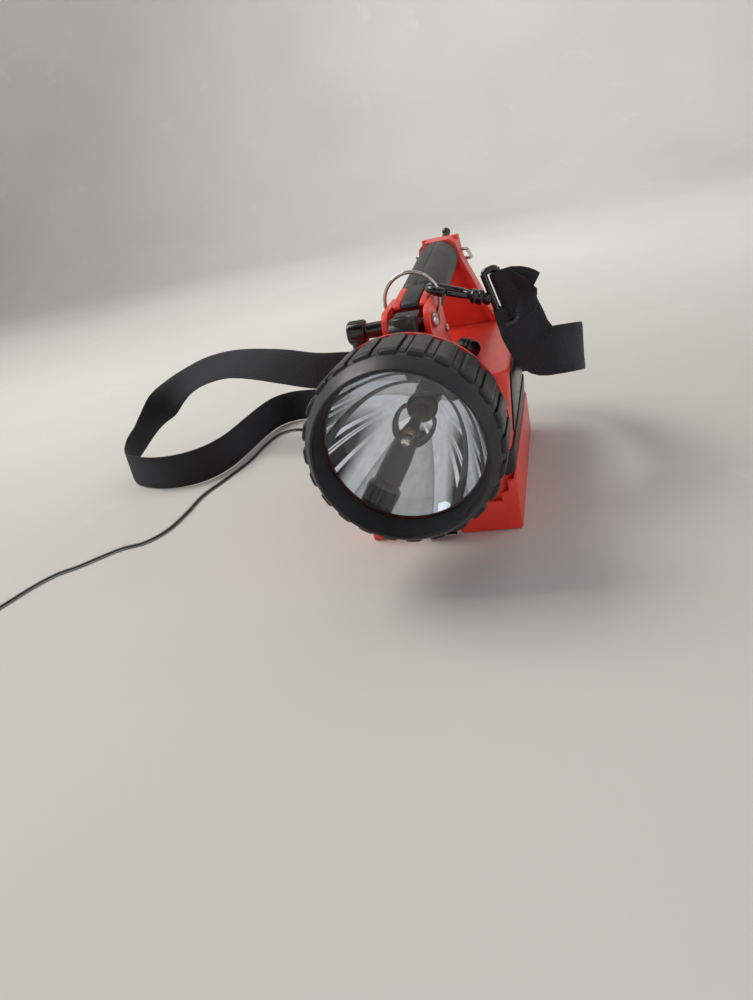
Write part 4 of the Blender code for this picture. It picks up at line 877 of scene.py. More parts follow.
class LANTERN_OT_stage(bpy.types.Operator):
    """Makes the floor with its back sweep, the sky, the soft lights and the camera"""

    bl_idname = "lantern.stage"
    bl_label = "Stage"

    def execute(self, context):
        shape = bmesh.new()
        rows = [(-3.2, 0.0), (2.2, 0.0)]
        for step in range(1, 13):
            angle = math.radians(90 * step / 12)
            rows.append((2.2 + 0.9 * math.sin(angle), 0.9 - 0.9 * math.cos(angle)))
        rows.append((3.1, 3.6))
        lines = [[shape.verts.new((x, y, z)) for x in (-3.6, 3.6)] for y, z in rows]
        for near, far in zip(lines, lines[1:]):
            shape.faces.new((near[0], near[1], far[1], far[0]))
        stage = settle(bpy.data.objects.new("stage_floor", mesh_of(shape)), "stage", None)

        world = bpy.data.worlds.new("studio_sky")
        world.use_nodes = True
        tree = world.node_tree
        tree.nodes.clear()
        way = node(tree, "ShaderNodeTexCoord", out="Generated")
        split = node(tree, "ShaderNodeSeparateXYZ", {0: way}, out="Z")
        ways = split.node.outputs
        high = node(tree, "ShaderNodeMapRange", {0: split, 1: 0.22, 2: 0.50})
        ahead = node(tree, "ShaderNodeMapRange", {0: ways["Y"], 1: 0.25, 2: -0.10})
        roof = node(tree, "ShaderNodeMath", {0: high, 1: ahead}, operation="MULTIPLY")
        pale, dim = (*tint("#E9E9E8"), 1), (*tint("#141518"), 1)
        sky = node(tree, "ShaderNodeMix", {0: roof, 6: pale, 7: dim}, out=2, data_type="RGBA")
        slope = node(tree, "ShaderNodeMath", {0: ways["X"], 1: split}, operation="DIVIDE")
        glow = 0.0
        for middle, half in SKY_WINDOWS:
            off = node(tree, "ShaderNodeMath", {0: slope, 1: middle}, operation="SUBTRACT")
            off = node(tree, "ShaderNodeMath", {0: off}, operation="ABSOLUTE")
            strip = node(tree, "ShaderNodeMapRange", {0: off, 1: half, 2: half * 1.25, 3: 1.0, 4: 0.0})
            glow = node(tree, "ShaderNodeMath", {0: glow, 1: strip}, operation="MAXIMUM")
        glow = node(tree, "ShaderNodeMath", {0: glow, 1: roof}, operation="MULTIPLY")
        lit = (*tint("#FFFFFF"), 1)
        sky = node(tree, "ShaderNodeMix", {0: glow, 6: sky, 7: lit}, out=2, data_type="RGBA")
        light = node(tree, "ShaderNodeBackground", {"Color": sky, "Strength": 0.92})
        node(tree, "ShaderNodeOutputWorld", {"Surface": light})
        context.scene.world = world

        area_light("key_soft_box", (-1.15, 0.15, 1.75), (0.0, 0.0, 0.08), 1.1, 24.0, "#FFFCF6")
        area_light("fill_soft_box", (1.35, -0.95, 0.80), (0.0, 0.0, 0.08), 1.1, 4.0, "#EEF3FF")
        area_light("top_soft_box", (0.10, 1.20, 1.90), (0.0, 2.8, 0.90), 1.6, 30.0, "#FBFCFF")

        lens = bpy.data.cameras.new("camera")
        lens.lens = CAMERA_LENS
        lens.sensor_width = CAMERA_SENSOR
        lens.clip_start = 0.01
        camera = bpy.data.objects.new("camera", lens)
        side = Vector((math.cos(CAMERA_HEADING), -math.sin(CAMERA_HEADING), 0.0))
        flat = math.cos(CAMERA_DIP)
        view = Vector(
            (math.sin(CAMERA_HEADING) * flat, math.cos(CAMERA_HEADING) * flat, -math.sin(CAMERA_DIP))
        )
        up = side.cross(view)
        turn, lift = math.cos(CAMERA_ROLL), math.sin(CAMERA_ROLL)
        columns = (turn * side + lift * up, turn * up - lift * side, -view)
        camera.matrix_world = Matrix.Translation(CAMERA_PLACE) @ Matrix(columns).transposed().to_4x4()
        context.scene.collection.objects.link(camera)
        context.scene.camera = camera
        context.scene.view_settings.view_transform = "Standard"
        return {"FINISHED"}


# ---------------------------------------------------------------- charging lead


def lead_path():
    """The lead's middle line: the free route, the stored turns, and the way into the adapter."""
    coil = frame_ring("lead_coil")
    start = Vector(COIL_START) - coil[0].xy
    first = math.atan2(start.y, start.x)
    thick = sizes().lead_thick
    low = thick / 2 + 0.0003
    rise = thick + 0.0002
    turns = sizes().lead_turns
    outer, inner = coil[1] - 0.0021, coil[2] + 0.0022
    lead_in = [Vector(point) for point in LEAD_ROUTE]
    for point in lead_in:
        point.z = min(point.z, 0.010) if point.z > LEAD_LOW else low
    wound = []
    steps = 16
    laps = 3
    last = turns * steps + round(first / (2 * math.pi) * steps)
    for step in range(2, last + 1):
        lap = step / steps
        layer, share = divmod(lap / laps, 1.0)
        layer_change = min(1.0, max(0.0, (share - 0.90) / 0.10))
        sweep = share if int(layer) % 2 == 0 else 1.0 - share
        radius = outer + (inner - outer) * sweep
        angle = first - 2 * math.pi * step / steps
        level = low + rise * (layer + layer_change * layer_change * (3 - 2 * layer_change))
        wound.append(coil[0] + Vector((radius * math.cos(angle), radius * math.sin(angle), level - coil[0].z)))
    end = wound[-1]
    low_corner, high_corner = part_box("adapter_body")
    door = Vector(((low_corner.x + high_corner.x) / 2 + 0.002, high_corner.y, 0.0160))
    along = (wound[-1] - wound[-2]).normalized()
    way_in = [
        end + along * 0.008 + Vector((0, 0, 0.0012)),
        end.lerp(door, 0.45) + Vector((0.0015, 0, 0.0020)),
        door + Vector((0, 0.0110, -0.0005)),
        door + Vector((0, 0.0040, 0)),
        door + Vector((0, -0.0020, 0)),
    ]
    return flowing([*lead_in, *wound, *way_in], 0.0024), door


def frame_ring(name):
    """A flat ring node's middle, outer radius and inner radius."""
    low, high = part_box(name)
    middle = (low + high) / 2
    reaches = [(vertex.co.xy - middle.xy).length for vertex in frame["nodes"][name].data.vertices]
    return middle, max(reaches), min(reaches)


def twin_section(width, thick, steps=20):
    """The outline of two cores side by side, round outside with a shallow valley between."""
    points = []
    for step in range(steps):
        angle = 2 * math.pi * step / steps
        across = width / 2 * math.cos(angle)
        valley = 0.22 * math.exp(-((across / (width * 0.10)) ** 2))
        rise = abs(math.sin(angle)) ** 0.62 * (1 - valley)
        points.append((across, math.copysign(thick / 2 * rise, math.sin(angle))))
    return points


class LANTERN_OT_lead(bpy.types.Operator):
    """Makes the charging lead with its stored coil, its strain relief and the adapter"""

    bl_idname = "lantern.lead"
    bl_label = "Charging lead"

    def execute(self, context):
        size = sizes()
        path, door = lead_path()
        section = twin_section(size.lead_width, size.lead_thick)
        rings, places = [], [0.0]
        for index, point in enumerate(path):
            along = path[min(index + 1, len(path) - 1)] - path[max(index - 1, 0)]
            side = along.cross(Z_AXIS).normalized()
            up = side.cross(along.normalized())
            rings.append([point + side * across + up * rise for across, rise in section])
            if index:
                places.append(places[-1] + (point - path[index - 1]).length)
        girth = [0.0]
        for first, second in zip(section, [*section[1:], section[0]]):
            girth.append(girth[-1] + math.dist(first, second))
        lead = piece(
            "twin_lead", skin(rings, spread=(girth, places)), "lead_insulation", "tray",
            ("charging_lead", "lead_coil"), 60,
        )

        low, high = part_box("lead_strain_relief")
        start = Vector((high.x, (low.y + high.y) / 2, (low.z + high.z) / 2))
        reach = high.x - low.x
        radius = (high.z - low.z) / 2
        profile = [(0.0, 0.0), (radius, 0.0), (radius, 0.0030)]
        for rib in range(5):
            along = 0.0042 + (reach - 0.0050) * rib / 5
            wide = radius * (0.86 - 0.36 * rib / 5)
            profile += [
                (wide, along), (wide, along + 0.0012), (wide * 0.80, along + 0.0015),
                (wide * 0.80, along + 0.0020),
            ]
        profile += [(radius * 0.42, reach - 0.0004), (radius * 0.36, reach), (0.0, reach)]
        relief = piece(
            "lead_relief", turned(rounded(profile, 0.0003, 2), start, -X_AXIS, 40), "black_plastic", "tray",
            ("lead_strain_relief",),
        )
        adapter = refined("wall_adapter", "adapter_body", "black_plastic", 0.0014, 4)
        sleeve_profile = [(0.0, -0.0010), (0.0042, -0.0010), (0.0042, 0.0010)]
        for rib in range(3):
            along = 0.0020 + 0.0024 * rib
            sleeve_profile += [(0.0036 - 0.0003 * rib, along), (0.0036 - 0.0003 * rib, along + 0.0013)]
            sleeve_profile += [(0.0028, along + 0.0016), (0.0028, along + 0.0020)]
        sleeve_profile += [(0.0024, 0.0100), (0.0, 0.0100)]
        sleeve = piece(
            "adapter_sleeve", turned(rounded(sleeve_profile, 0.0003, 2), door, Y_AXIS, 32), "black_plastic",
            "tray",
        )
        tuple(path[0])
        [tuple(point) for point in path]
        return {"FINISHED"}


# ---------------------------------------------------------------- shoulder strap


def band_route(route, spacing):
    """Even points along a route, each with its direction across."""
    points = [(*place, *(Vector(across).normalized() * 0.001)) for place, across in route]
    return [(Vector(point[:3]), Vector(point[3:]).normalized()) for point in flowing(points, spacing)]


def band(route, width, thick, seed, spacing=0.0028):
    """A webbing band along a route: soft edges, a slight cup that changes along it, and its weave map."""
    wander = random.Random(seed)
    cups = [wander.uniform(-0.0007, 0.0007) for _ in range(400)]
    read = band_route(route, spacing)
    columns = 16
    rings, places = [], [0.0]
    for index, (point, across) in enumerate(read):
        before = read[max(index - 1, 0)][0]
        after = read[min(index + 1, len(read) - 1)][0]
        along = (after - before).normalized()
        across = (across - along * across.dot(along)).normalized()
        face = along.cross(across)
        walk = index / 7
        part = walk - int(walk)
        cup = cups[int(walk)] * (1 - part) + cups[int(walk) + 1] * part
        fade = min(1.0, index / 8, (len(read) - 1 - index) / 8)
        opened = min(1.0, max(0.0, index - 12) / 8)
        wide = width * (GATHERED + (1 - GATHERED) * opened)
        top, bottom = [], []
        for step in range(columns + 1):
            share = 2 * step / columns - 1
            edge = 1 - 0.45 * abs(share) ** 14
            bow = cup * fade * (share * share - 0.35)
            middle = point + across * (share * wide / 2) + face * bow
            top.append(middle + face * (thick / 2 * edge))
            bottom.append(middle - face * (thick / 2 * edge))
        rings.append([*top, *reversed(bottom)])
        if index:
            places.append(places[-1] + (point - read[index - 1][0]).length)
    shares = [width * (step / columns - 0.5) for step in range(columns + 1)]
    return skin(rings, spread=([*shares, *reversed(shares), shares[0]], places)), read


def stitches(rows):
    """Stitches along rows of (start, end, face direction), each a short dipped thread."""
    size = sizes()
    points = []
    for step in range(5):
        share = step / 4 - 0.5
        points.append(Vector((share * size.stitch * 0.80, 0, 0.00038 * (1 - (2 * share) ** 2) - 0.00010)))
    bead = skin(domed(tube_rings(points, 0.00034, 6, side=Y_AXIS)))
    places = []
    for start, end, face in rows:
        count = max(2, round((end - start).length / size.stitch))
        heading = (end - start).normalized()
        for step in range(count):
            places.append((start.lerp(end, (step + 0.5) / count), face, heading))
    return copied_to(bead, places, "thread")


def loose_threads(root, way, face, count, seed, reach=0.007):
    """Frayed ends: thin curling threads that start at a cut edge."""
    wander = random.Random(seed)
    shapes = []
    for _ in range(count):
        start = root + way * wander.uniform(-0.5, 0.5) * 0.020
        points = [start]
        direction = (face + way * wander.uniform(-0.5, 0.5)).normalized()
        for _ in range(5):
            swing = Vector([wander.uniform(-0.8, 0.8) for _ in range(3)])
            direction = (direction + swing * 0.7).normalized()
            points.append(points[-1] + direction * reach / 5 * wander.uniform(0.6, 1.2))
        shapes.append(skin(tube_rings(flowing(points, 0.0007), 0.00020, 5)))
    return joined(*shapes)


def bar_wrap(bar, pull, bars, radius, near, tail):
    """A route round a bar: a sewn tail behind, the wrap, and the start of the main run."""
    face = pull.cross(bars).normalized()
    points = [bar + pull * tail * share - face * (radius + 0.0006 * share) for share in (1.0, 0.6, 0.25)]
    for step in range(7):
        angle = math.radians(30 * step)
        points.append(bar - face * radius * math.cos(angle) - pull * near * math.sin(angle))
    return points


def hook_frame(end):
    """Start, direction and sideways direction of a snap hook, and the far bar of its strap loop."""
    if end == "front":
        start, along = Vector((0.0135, -0.066, 0.1765)), Vector((0.93, 0.10, -0.36)).normalized()
        pull, bars = FRONT_LOOP_PULL, FRONT_LOOP_BARS
    else:
        start, along = Vector((0.0, 0.1301, 0.1700)), Vector((0.0, 0.01, -1.0)).normalized()
        pull, bars = along, X_AXIS
    across = (Y_AXIS - along * Y_AXIS.dot(along)).normalized()
    return start, along, across, pull, bars


class LANTERN_OT_strap(bpy.types.Operator):
    """Makes the two lengths of webbing, their sewn ends, the sewn lap between them and the frayed threads"""

    bl_idname = "lantern.strap"
    bl_label = "Shoulder strap"

    def execute(self, context):
        size = sizes()
        wide, thick = size.strap_width, size.strap_thick
        made = {}
        for end, route, body in (
            ("front", STRAP_FRONT_ROUTE, "front_ring"),
            ("rear", STRAP_REAR_ROUTE[::-1], "rear_bail"),
        ):
            start, along, _, pull, bars = hook_frame(end)
            bar = start + along * LOOP_START + pull * LOOP_DEPTH
            bars_way = bars if bars.dot(Vector(route[0][1])) > 0 else -bars
            radius = LOOP_WIRE + thick / 2 + 0.0003
            wrap = bar_wrap(bar, pull, bars_way, radius, 0.0056, TAILS[end])
            whole = [*((point, tuple(bars_way)) for point in wrap), *route]
            if end == "front":
                whole[0] = (wrap[0] + TAIL_DROP * 1.7, (0.02, 0.25, -0.97))
                whole[1] = (wrap[1] + TAIL_DROP * 0.6, tuple(bars_way))
            shape, read = band(whole, wide, thick, 3 if end == "front" else 8)
            web = piece("strap_" + end, shape, "strap_webbing", None, (), 50)
            rows = []
            for index in SEWN_ROWS:
                middle, across = read[index]
                along = (read[index + 1][0] - read[index - 1][0]).normalized()
                across = (across - along * across.dot(along)).normalized()
                out = along.cross(across)
                for side in (1, -1):
                    reach = across * (wide / 2 - 0.005)
                    lifted = middle + out * side * (thick / 2 + 0.0001)
                    rows.append((lifted - reach, lifted + reach, out * side))
            sewn = piece("stitches_" + end, stitches(rows), "thread", body, (), 60)
            tail, across = read[0]
            away = (tail - read[2][0]).normalized()
            threads = loose_threads(tail, across, away, 16, 5, 0.004)
            frayed = piece("frayed_" + end, threads, "thread", body, (), 60)
            made[end] = (web, read, [sewn, frayed])
            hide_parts("shoulder_strap")
        front, rear = made["front"], made["rear"]
        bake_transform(front[0])
        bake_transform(rear[0])

        point, across = front[1][-12]
        along = (front[1][-4][0] - front[1][-20][0]).normalized()
        across = (across - along * across.dot(along)).normalized()
        face = along.cross(across)
        rows = []
        for side in (1, -1):
            for reach in (-0.012, 0.012):
                middle = point + along * reach + face * side * (thick * 1.5 + 0.0004)
                rows.append((middle - across * 0.014, middle + across * 0.014, face * side))
        rear[2].append(piece("stitches_lap", stitches(rows), "thread", "lantern", (), 60))
        for end, (web, read, extra) in made.items():
            run = sum((after[0] - before[0]).length for before, after in zip(read, read[1:]))
        return {"FINISHED"}


# ---------------------------------------------------------------- rings, hooks and strap loops


class LANTERN_OT_hooks(bpy.types.Operator):
    """Makes both snap hooks with their gates, swivels and strap loops, the split ring and the bail"""

    bl_idname = "lantern.hooks"
    bl_label = "Rings and hooks"

    def execute(self, context):
        for end in ("front", "rear"):
            start, along, across, pull, bars = hook_frame(end)
            face = along.cross(across)

            def place(forward, sideways, out=0.0):
                return start + along * forward + across * sideways + face * out

            route = [place(0.0330, 0.0), place(0.0285, 0.0022), place(0.0240, 0.0055), place(0.0180, 0.0065)]
            for step in range(13):
                angle = math.radians(90 + 180 * step / 12)
                route.append(place(0.0065 * (1 + math.cos(angle)), 0.0065 * math.sin(angle)))
            route.append(place(0.0100, -0.0066))
            line = flowing(route, 0.0009)
            crook = skin(domed(tube_rings(line, HOOK_WIRE, 20, side=face)))
            barrel = [(0.0, 0.0286), (0.0034, 0.0286), (0.0050, 0.0300), (0.0053, 0.0316), (0.0046, 0.0328)]
            barrel += [(0.0046, 0.0340), (0.0053, 0.0350), (0.0053, 0.0370), (0.0044, 0.0380), (0.0, 0.0380)]
            body = end + "_hook"
            piece(
                end + "_snap_hook",
                joined(crook, turned(rounded(barrel, 0.0005, 3), start, along, 40)),
                "gloss", body, (end + "_hook_body",), 40,
            )
            leaf = flowing(
                [
                    place(0.0129, -0.0064), place(0.0165, -0.0065), place(0.0200, -0.0062),
                    place(0.0263, -0.0052),
                ],
                0.0009,
            )
            piece(
                end + "_gate",
                skin(domed(tube_rings(leaf, 0.0018, 16, side=face, flat=0.8))),
                "gloss", end + "_gate", (end + "_hook_gate",), 40,
            )
            collar = [
                (0.0, 0.0383), (0.0034, 0.0383), (0.0040, 0.0389), (0.0040, 0.0428), (0.0034, 0.0435),
                (0.0, 0.0435),
            ]
            near = start + along * LOOP_START
            half, depth, radius = LOOP_HALF, LOOP_DEPTH, 0.0030
            ring = []
            for forward, sideways, first in (
                (radius, radius - half, 180), (depth - radius, radius - half, 270),
                (depth - radius, half - radius, 0), (radius, half - radius, 90),
            ):
                for step in range(7):
                    angle = math.radians(first + 15 * step)
                    ring.append(
                        near + pull * (forward + radius * math.cos(angle)) + bars * (
                            sideways + radius * math.sin(angle)
                        )
                    )
            line = flowing(ring, 0.0011, closed=True)
            loop = skin(tube_rings(line, LOOP_WIRE, 18, side=pull.cross(bars), closed=True), loop=True)
            ride_on = "front_ring" if end == "front" else "rear_bail"
            piece(
                end + "_slider",
                joined(loop, turned(rounded(collar, 0.0005, 3), start, along, 40)),
                "gloss", ride_on, (end + "_strap_loop",), 40,
            )

        low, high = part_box("front_ring")
        middle = (low + high) / 2
        wire = (high.y - low.y) / 2
        radius = (high.x - low.x) / 2 - wire
        points, steps = [], 96
        for step in range(int(steps * 1.97)):
            angle = 2 * math.pi * step / steps + 2.2
            side = (step / (steps * 1.97) - 0.5) * wire * 0.98
            points.append(middle + Vector((radius * math.cos(angle), side, radius * math.sin(angle))))
        piece(
            "split_ring", skin(tube_rings(points, wire * 0.50, 12, side=Y_AXIS, flat=1.7)),
            "nickel_steel", "front_ring", ("front_ring",), 40,
        )

        low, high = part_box("rear_bail")
        pivot = Vector(JOINTS["rear_bail_swing"]["pos_m"])
        wire = 0.0015
        half = (high.x - low.x) / 2 - wire
        back = Vector((0.0, high.y - wire, low.z + wire)) - pivot
        away, reach, corner = back.normalized(), back.length, 0.0035
        line = []
        for side in (-1, 1):
            leg = [
                pivot + X_AXIS * side * (0.0140 + (half - corner - 0.0140) * share)
                for share in (0.0, 0.5, 1.0)
            ]
            for step in range(1, 7):
                angle = math.radians(15 * step)
                out = X_AXIS * side * (half - corner + corner * math.sin(angle))
                leg.append(pivot + out + away * corner * (1 - math.cos(angle)))
            for step in range(7):
                angle = math.radians(15 * step)
                out = X_AXIS * side * (half - corner + corner * math.cos(angle))
                leg.append(pivot + out + away * (reach - corner + corner * math.sin(angle)))
            line = leg if side < 0 else line + leg[::-1]
        piece(
            "wire_bail", skin(tube_rings(flowing(line, 0.0010), wire, 16)),
            "nickel_steel", "rear_bail", ("rear_bail",), 40,
        )
        return {"FINISHED"}


# ---------------------------------------------------------------- case, tray and latch


def case_outline(z, offset, radius, corner_steps=10):
    """The case's outline at a height, moved outwards by an offset, with round corners."""
    low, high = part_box("base_cover")[0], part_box("case_shell")[1]
    share = (z - low.z) / (high.z - low.z)
    half, front, rear = (foot + (top - foot) * share for foot, top in zip(CASE_FOOT, CASE_TOP))
    half, front, rear = half + offset, front - offset, rear + offset
    points = []
    for x, y, first in ((half, rear, 0), (-half, rear, 90), (-half, front, 180), (half, front, 270)):
        corner = Vector((x - math.copysign(radius, x), y - radius if y > 0 else y + radius))
        for step in range(corner_steps + 1):
            angle = math.radians(first + 90 * step / corner_steps)
            points.append(Vector((corner.x + radius * math.cos(angle), corner.y + radius * math.sin(angle), z)))
    return points


def case_body(name, node_name, low, high, low_edge, high_edge):
    """A shell between two heights with round edges of these radii at its bottom and top."""
    turns = [math.radians(15 * step) for step in range(7)]
    levels = [(low + low_edge * (1 - math.cos(turn)), low_edge * (1 - math.sin(turn))) for turn in turns]
    levels += [(high - high_edge * (1 - math.sin(turn)), high_edge * (1 - math.cos(turn))) for turn in turns]
    rings = [case_outline(z, -inset, 0.008 - inset * 0.6) for z, inset in levels]
    return piece(name, skin(rings), "orange_plastic", "lantern", (node_name,), 32)


class LANTERN_OT_case(bpy.types.Operator):
    """Makes the case's two shells, its belt, side plates and top cap"""

    bl_idname = "lantern.case"
    bl_label = "Case"

    def execute(self, context):
        low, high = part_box("case_shell")
        case_body("case_upper", "case_shell", low.z, high.z, 0.0004, 0.0032)
        low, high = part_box("base_cover")
        case_body("case_lower", "base_cover", low.z, high.z, 0.0015, 0.0004)
        low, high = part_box("case_belt")
        inner, outer = 0.0003, 0.0021
        seam = (inner, low.z + 0.004)
        section = [seam, (inner, low.z), (outer, low.z), (outer, high.z), (inner, high.z), seam]
        rings = [case_outline(z, offset, 0.0085 + offset * 0.3) for offset, z in rounded(section, 0.0006, 4)]
        piece("belt", skin(rings, loop=True), "black_rubber", "lantern", ("case_belt",), 40)
        for side in ("left", "right"):
            refined("plate_" + side, "side_plate_" + side, "film", 0.0003, 2)
        low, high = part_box("socket_cap")
        along = Vector((-0.55, 0.84, 0.0)).normalized()
        start = Vector((0.0330, -0.0330, (low.z + high.z) / 2))
        profile = [
            (0.0, 0.0), (0.0056, 0.0), (0.0064, 0.0010), (0.0064, 0.0058), (0.0058, 0.0062),
            (0.0058, 0.0070),
        ]
        profile += [(0.0062, 0.0074), (0.0062, 0.0178), (0.0054, 0.0188), (0.0, 0.0188)]
        cap = turned(rounded(profile, 0.0005, 3), start, along, 48)
        rib_line = [(-0.0005, 0.0), (0.0005, 0.0), (0.0003, 0.0006), (-0.0003, 0.0006)]
        rib = slab(rib_line, lambda x, z, y: Vector((x, y, 0.0060 + z)), 0.0080, 0.0172)
        matrix = Matrix.Translation(start) @ along.to_track_quat("Y", "Z").to_matrix().to_4x4()
        ribs = copied_round(rib, 22, matrix, "gloss")
        piece("top_cap", joined(cap, ribs), "gloss", "lantern", ("socket_cap",), 40)
        return {"FINISHED"}


class LANTERN_OT_tray(bpy.types.Operator):
    """Makes the charging tray with its contacts, and the front latch"""

    bl_idname = "lantern.tray"
    bl_label = "Charging tray"

    def execute(self, context):
        refined("tray_shell", "charging_tray", "orange_plastic", sizes().edge)
        refined("latch_catch", "latch_lever", "black_plastic", 0.0005)
        refined("latch_plate", "latch_bracket", "nickel_steel", 0.0003, 2)
        refined("latch_rod", "latch_pin", "nickel_steel", 0.0003, 2)
        for side in ("left", "right"):
            refined("contact_" + side, "tray_contact_" + side, "contact_brass", 0.0003, 2)
        return {"FINISHED"}


# ---------------------------------------------------------------- handle and grip


class LANTERN_OT_handle(bpy.types.Operator):
    """Makes the handle frame, the two halves of the soft grip, its nose and the neck screws"""

    bl_idname = "lantern.handle"
    bl_label = "Handle"

    def execute(self, context):
        refined("handle_moulding", "handle_frame", "orange_plastic", 0.0011, 4)
        for side, name in ((-1, "left"), (1, "right")):
            low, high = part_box("grip_" + name)
            half, height = 0.0165, 0.0145
            edge, rear_edge = 0.0042, 0.0012
            rings = []
            ys = [low.y + edge * (1 - math.cos(math.radians(15 * step))) for step in range(7)]
            draws = [1 - edge / height * (1 - math.sin(math.radians(15 * step))) for step in range(7)]
            straight = high.y - low.y - edge - rear_edge
            ys += [low.y + edge + straight * share for share in (0.33, 0.66, 1.0)]
            draws += [1.0, 1.0, 1.0]
            ys += [high.y - rear_edge * (1 - math.sin(math.radians(30 * step))) for step in range(1, 4)]
            draws += [1 - rear_edge / height * (1 - math.cos(math.radians(30 * step))) for step in range(1, 4)]
            for y, draw in zip(ys, draws):
                middle = 0.1615 + 0.015 * (y + 0.054) / 0.138
                ring = []
                for step in range(33):
                    angle = math.radians(-90 + 180 * step / 32)
                    across = abs(math.cos(angle)) ** 0.86 * half * draw
                    rise = math.copysign(abs(math.sin(angle)) ** 0.90, math.sin(angle)) * height * draw
                    seam = 0.00045 * math.exp(-((across / 0.0011) ** 2))
                    rise -= math.copysign(seam, rise)
                    ring.append(Vector((side * max(across, 0.00012), y, middle + rise)))
                for share in (0.5, 0.0, -0.5):
                    ring.append(Vector((side * 0.00012, y, middle + share * height * draw)))
                rings.append(ring)
            piece(
                "grip_cover_" + name, skin(rings), "grip_rubber", "lantern",
                ("grip_" + name,), 40,
            )
        refined("grip_tongue", "grip_nose", "grip_rubber", 0.0016, 5, Matrix.Diagonal((TONGUE_SHARE, 1, 1, 1)))
        nose = [(-0.0775, 0.1668), (-0.0558, 0.1668), (-0.0558, 0.1701), (-0.0384, 0.1701), (-0.0384, 0.1752)]
        nose += [(-0.0480, 0.1742), (-0.0740, 0.1712), (-0.0775, 0.1696)]
        cheeks = []
        for side in (-1, 1):
            shape = slab(nose, lambda y, z, x: Vector((x, y, z)), side * 0.0067, side * 0.0126)
            cheeks.append(eased(shape, 0.0014, 4))
        piece("neck_cheeks", joined(*cheeks), "orange_plastic", "lantern")

        head = [
            (0.0, 0.0), (0.0030, 0.0), (0.0030, 0.0008), (0.0026, 0.0014), (0.0014, 0.0016),
            (0.0013, 0.0010), (0.0, 0.0010),
        ]
        screw = turned(rounded(head, 0.0002, 2), Vector(), Z_AXIS, 32)
        places, names = [], ("neck_screw_left", "neck_screw_right")
        for name in names:
            low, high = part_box(name)
            side = -1 if low.x < 0 else 1
            inner = high.x if side < 0 else low.x
            places.append((Vector((inner, (low.y + high.y) / 2, (low.z + high.z) / 2)), X_AXIS * side, Z_AXIS))
        piece(
            "neck_screws", copied_to(screw, places, "nickel_steel"), "nickel_steel", "lantern",
            names, 40,
        )
        return {"FINISHED"}


# ---------------------------------------------------------------- switch


class LANTERN_OT_switch(bpy.types.Operator):
    """Makes the toggle switch: its collar, its rubber boot and the ball-ended lever"""

    bl_idname = "lantern.switch"
    bl_label = "Switch"

    def execute(self, context):
        lean = Vector((0.0, math.sin(SWITCH_LEAN), math.cos(SWITCH_LEAN)))
        collar = [
            (0.0044, 0.0), (0.0070, 0.0), (0.0072, 0.0004), (0.0072, 0.0014), (0.0066, 0.0018),
            (0.0044, 0.0018), (0.0044, 0.0),
        ]
        piece(
            "switch_ring", turned(rounded(collar, 0.0002, 2), SWITCH_BASE, lean, 48), "nickel_steel",
            "lantern", ("switch_collar",), 40,
        )
        boot = [
            (0.0017, 0.0021), (0.0058, 0.0021), (0.0060, 0.0028), (0.0052, 0.0036), (0.0055, 0.0044),
            (0.0046, 0.0054),
        ]
        boot += [
            (0.0048, 0.0062), (0.0039, 0.0073), (0.0040, 0.0080), (0.0031, 0.0092), (0.0030, 0.0102),
            (0.0024, 0.0105), (0.0017, 0.0105), (0.0017, 0.0021),
        ]
        cover = piece(
            "boot", turned(rounded(boot, 0.0003, 3), SWITCH_BASE, lean, 48), "black_rubber", None,
            ("switch_boot",), 50,
        )
        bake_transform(cover)
        lever = [(0.0, 0.0004), (0.0013, 0.0004), (0.0013, 0.0106)]
        for step in range(1, 13):
            angle = math.radians(-60 + 150 * step / 12)
            lever.append((0.0038 * math.cos(angle), 0.0148 + 0.0038 * math.sin(angle)))
        lever[-1] = (0.0, 0.0186)
        piece(
            "toggle_ball", turned(lever, SWITCH_BASE, lean, 48), "gloss", "toggle",
            ("toggle_lever",), 50,
        )
        return {"FINISHED"}


# ---------------------------------------------------------------- head, lamp and its ring


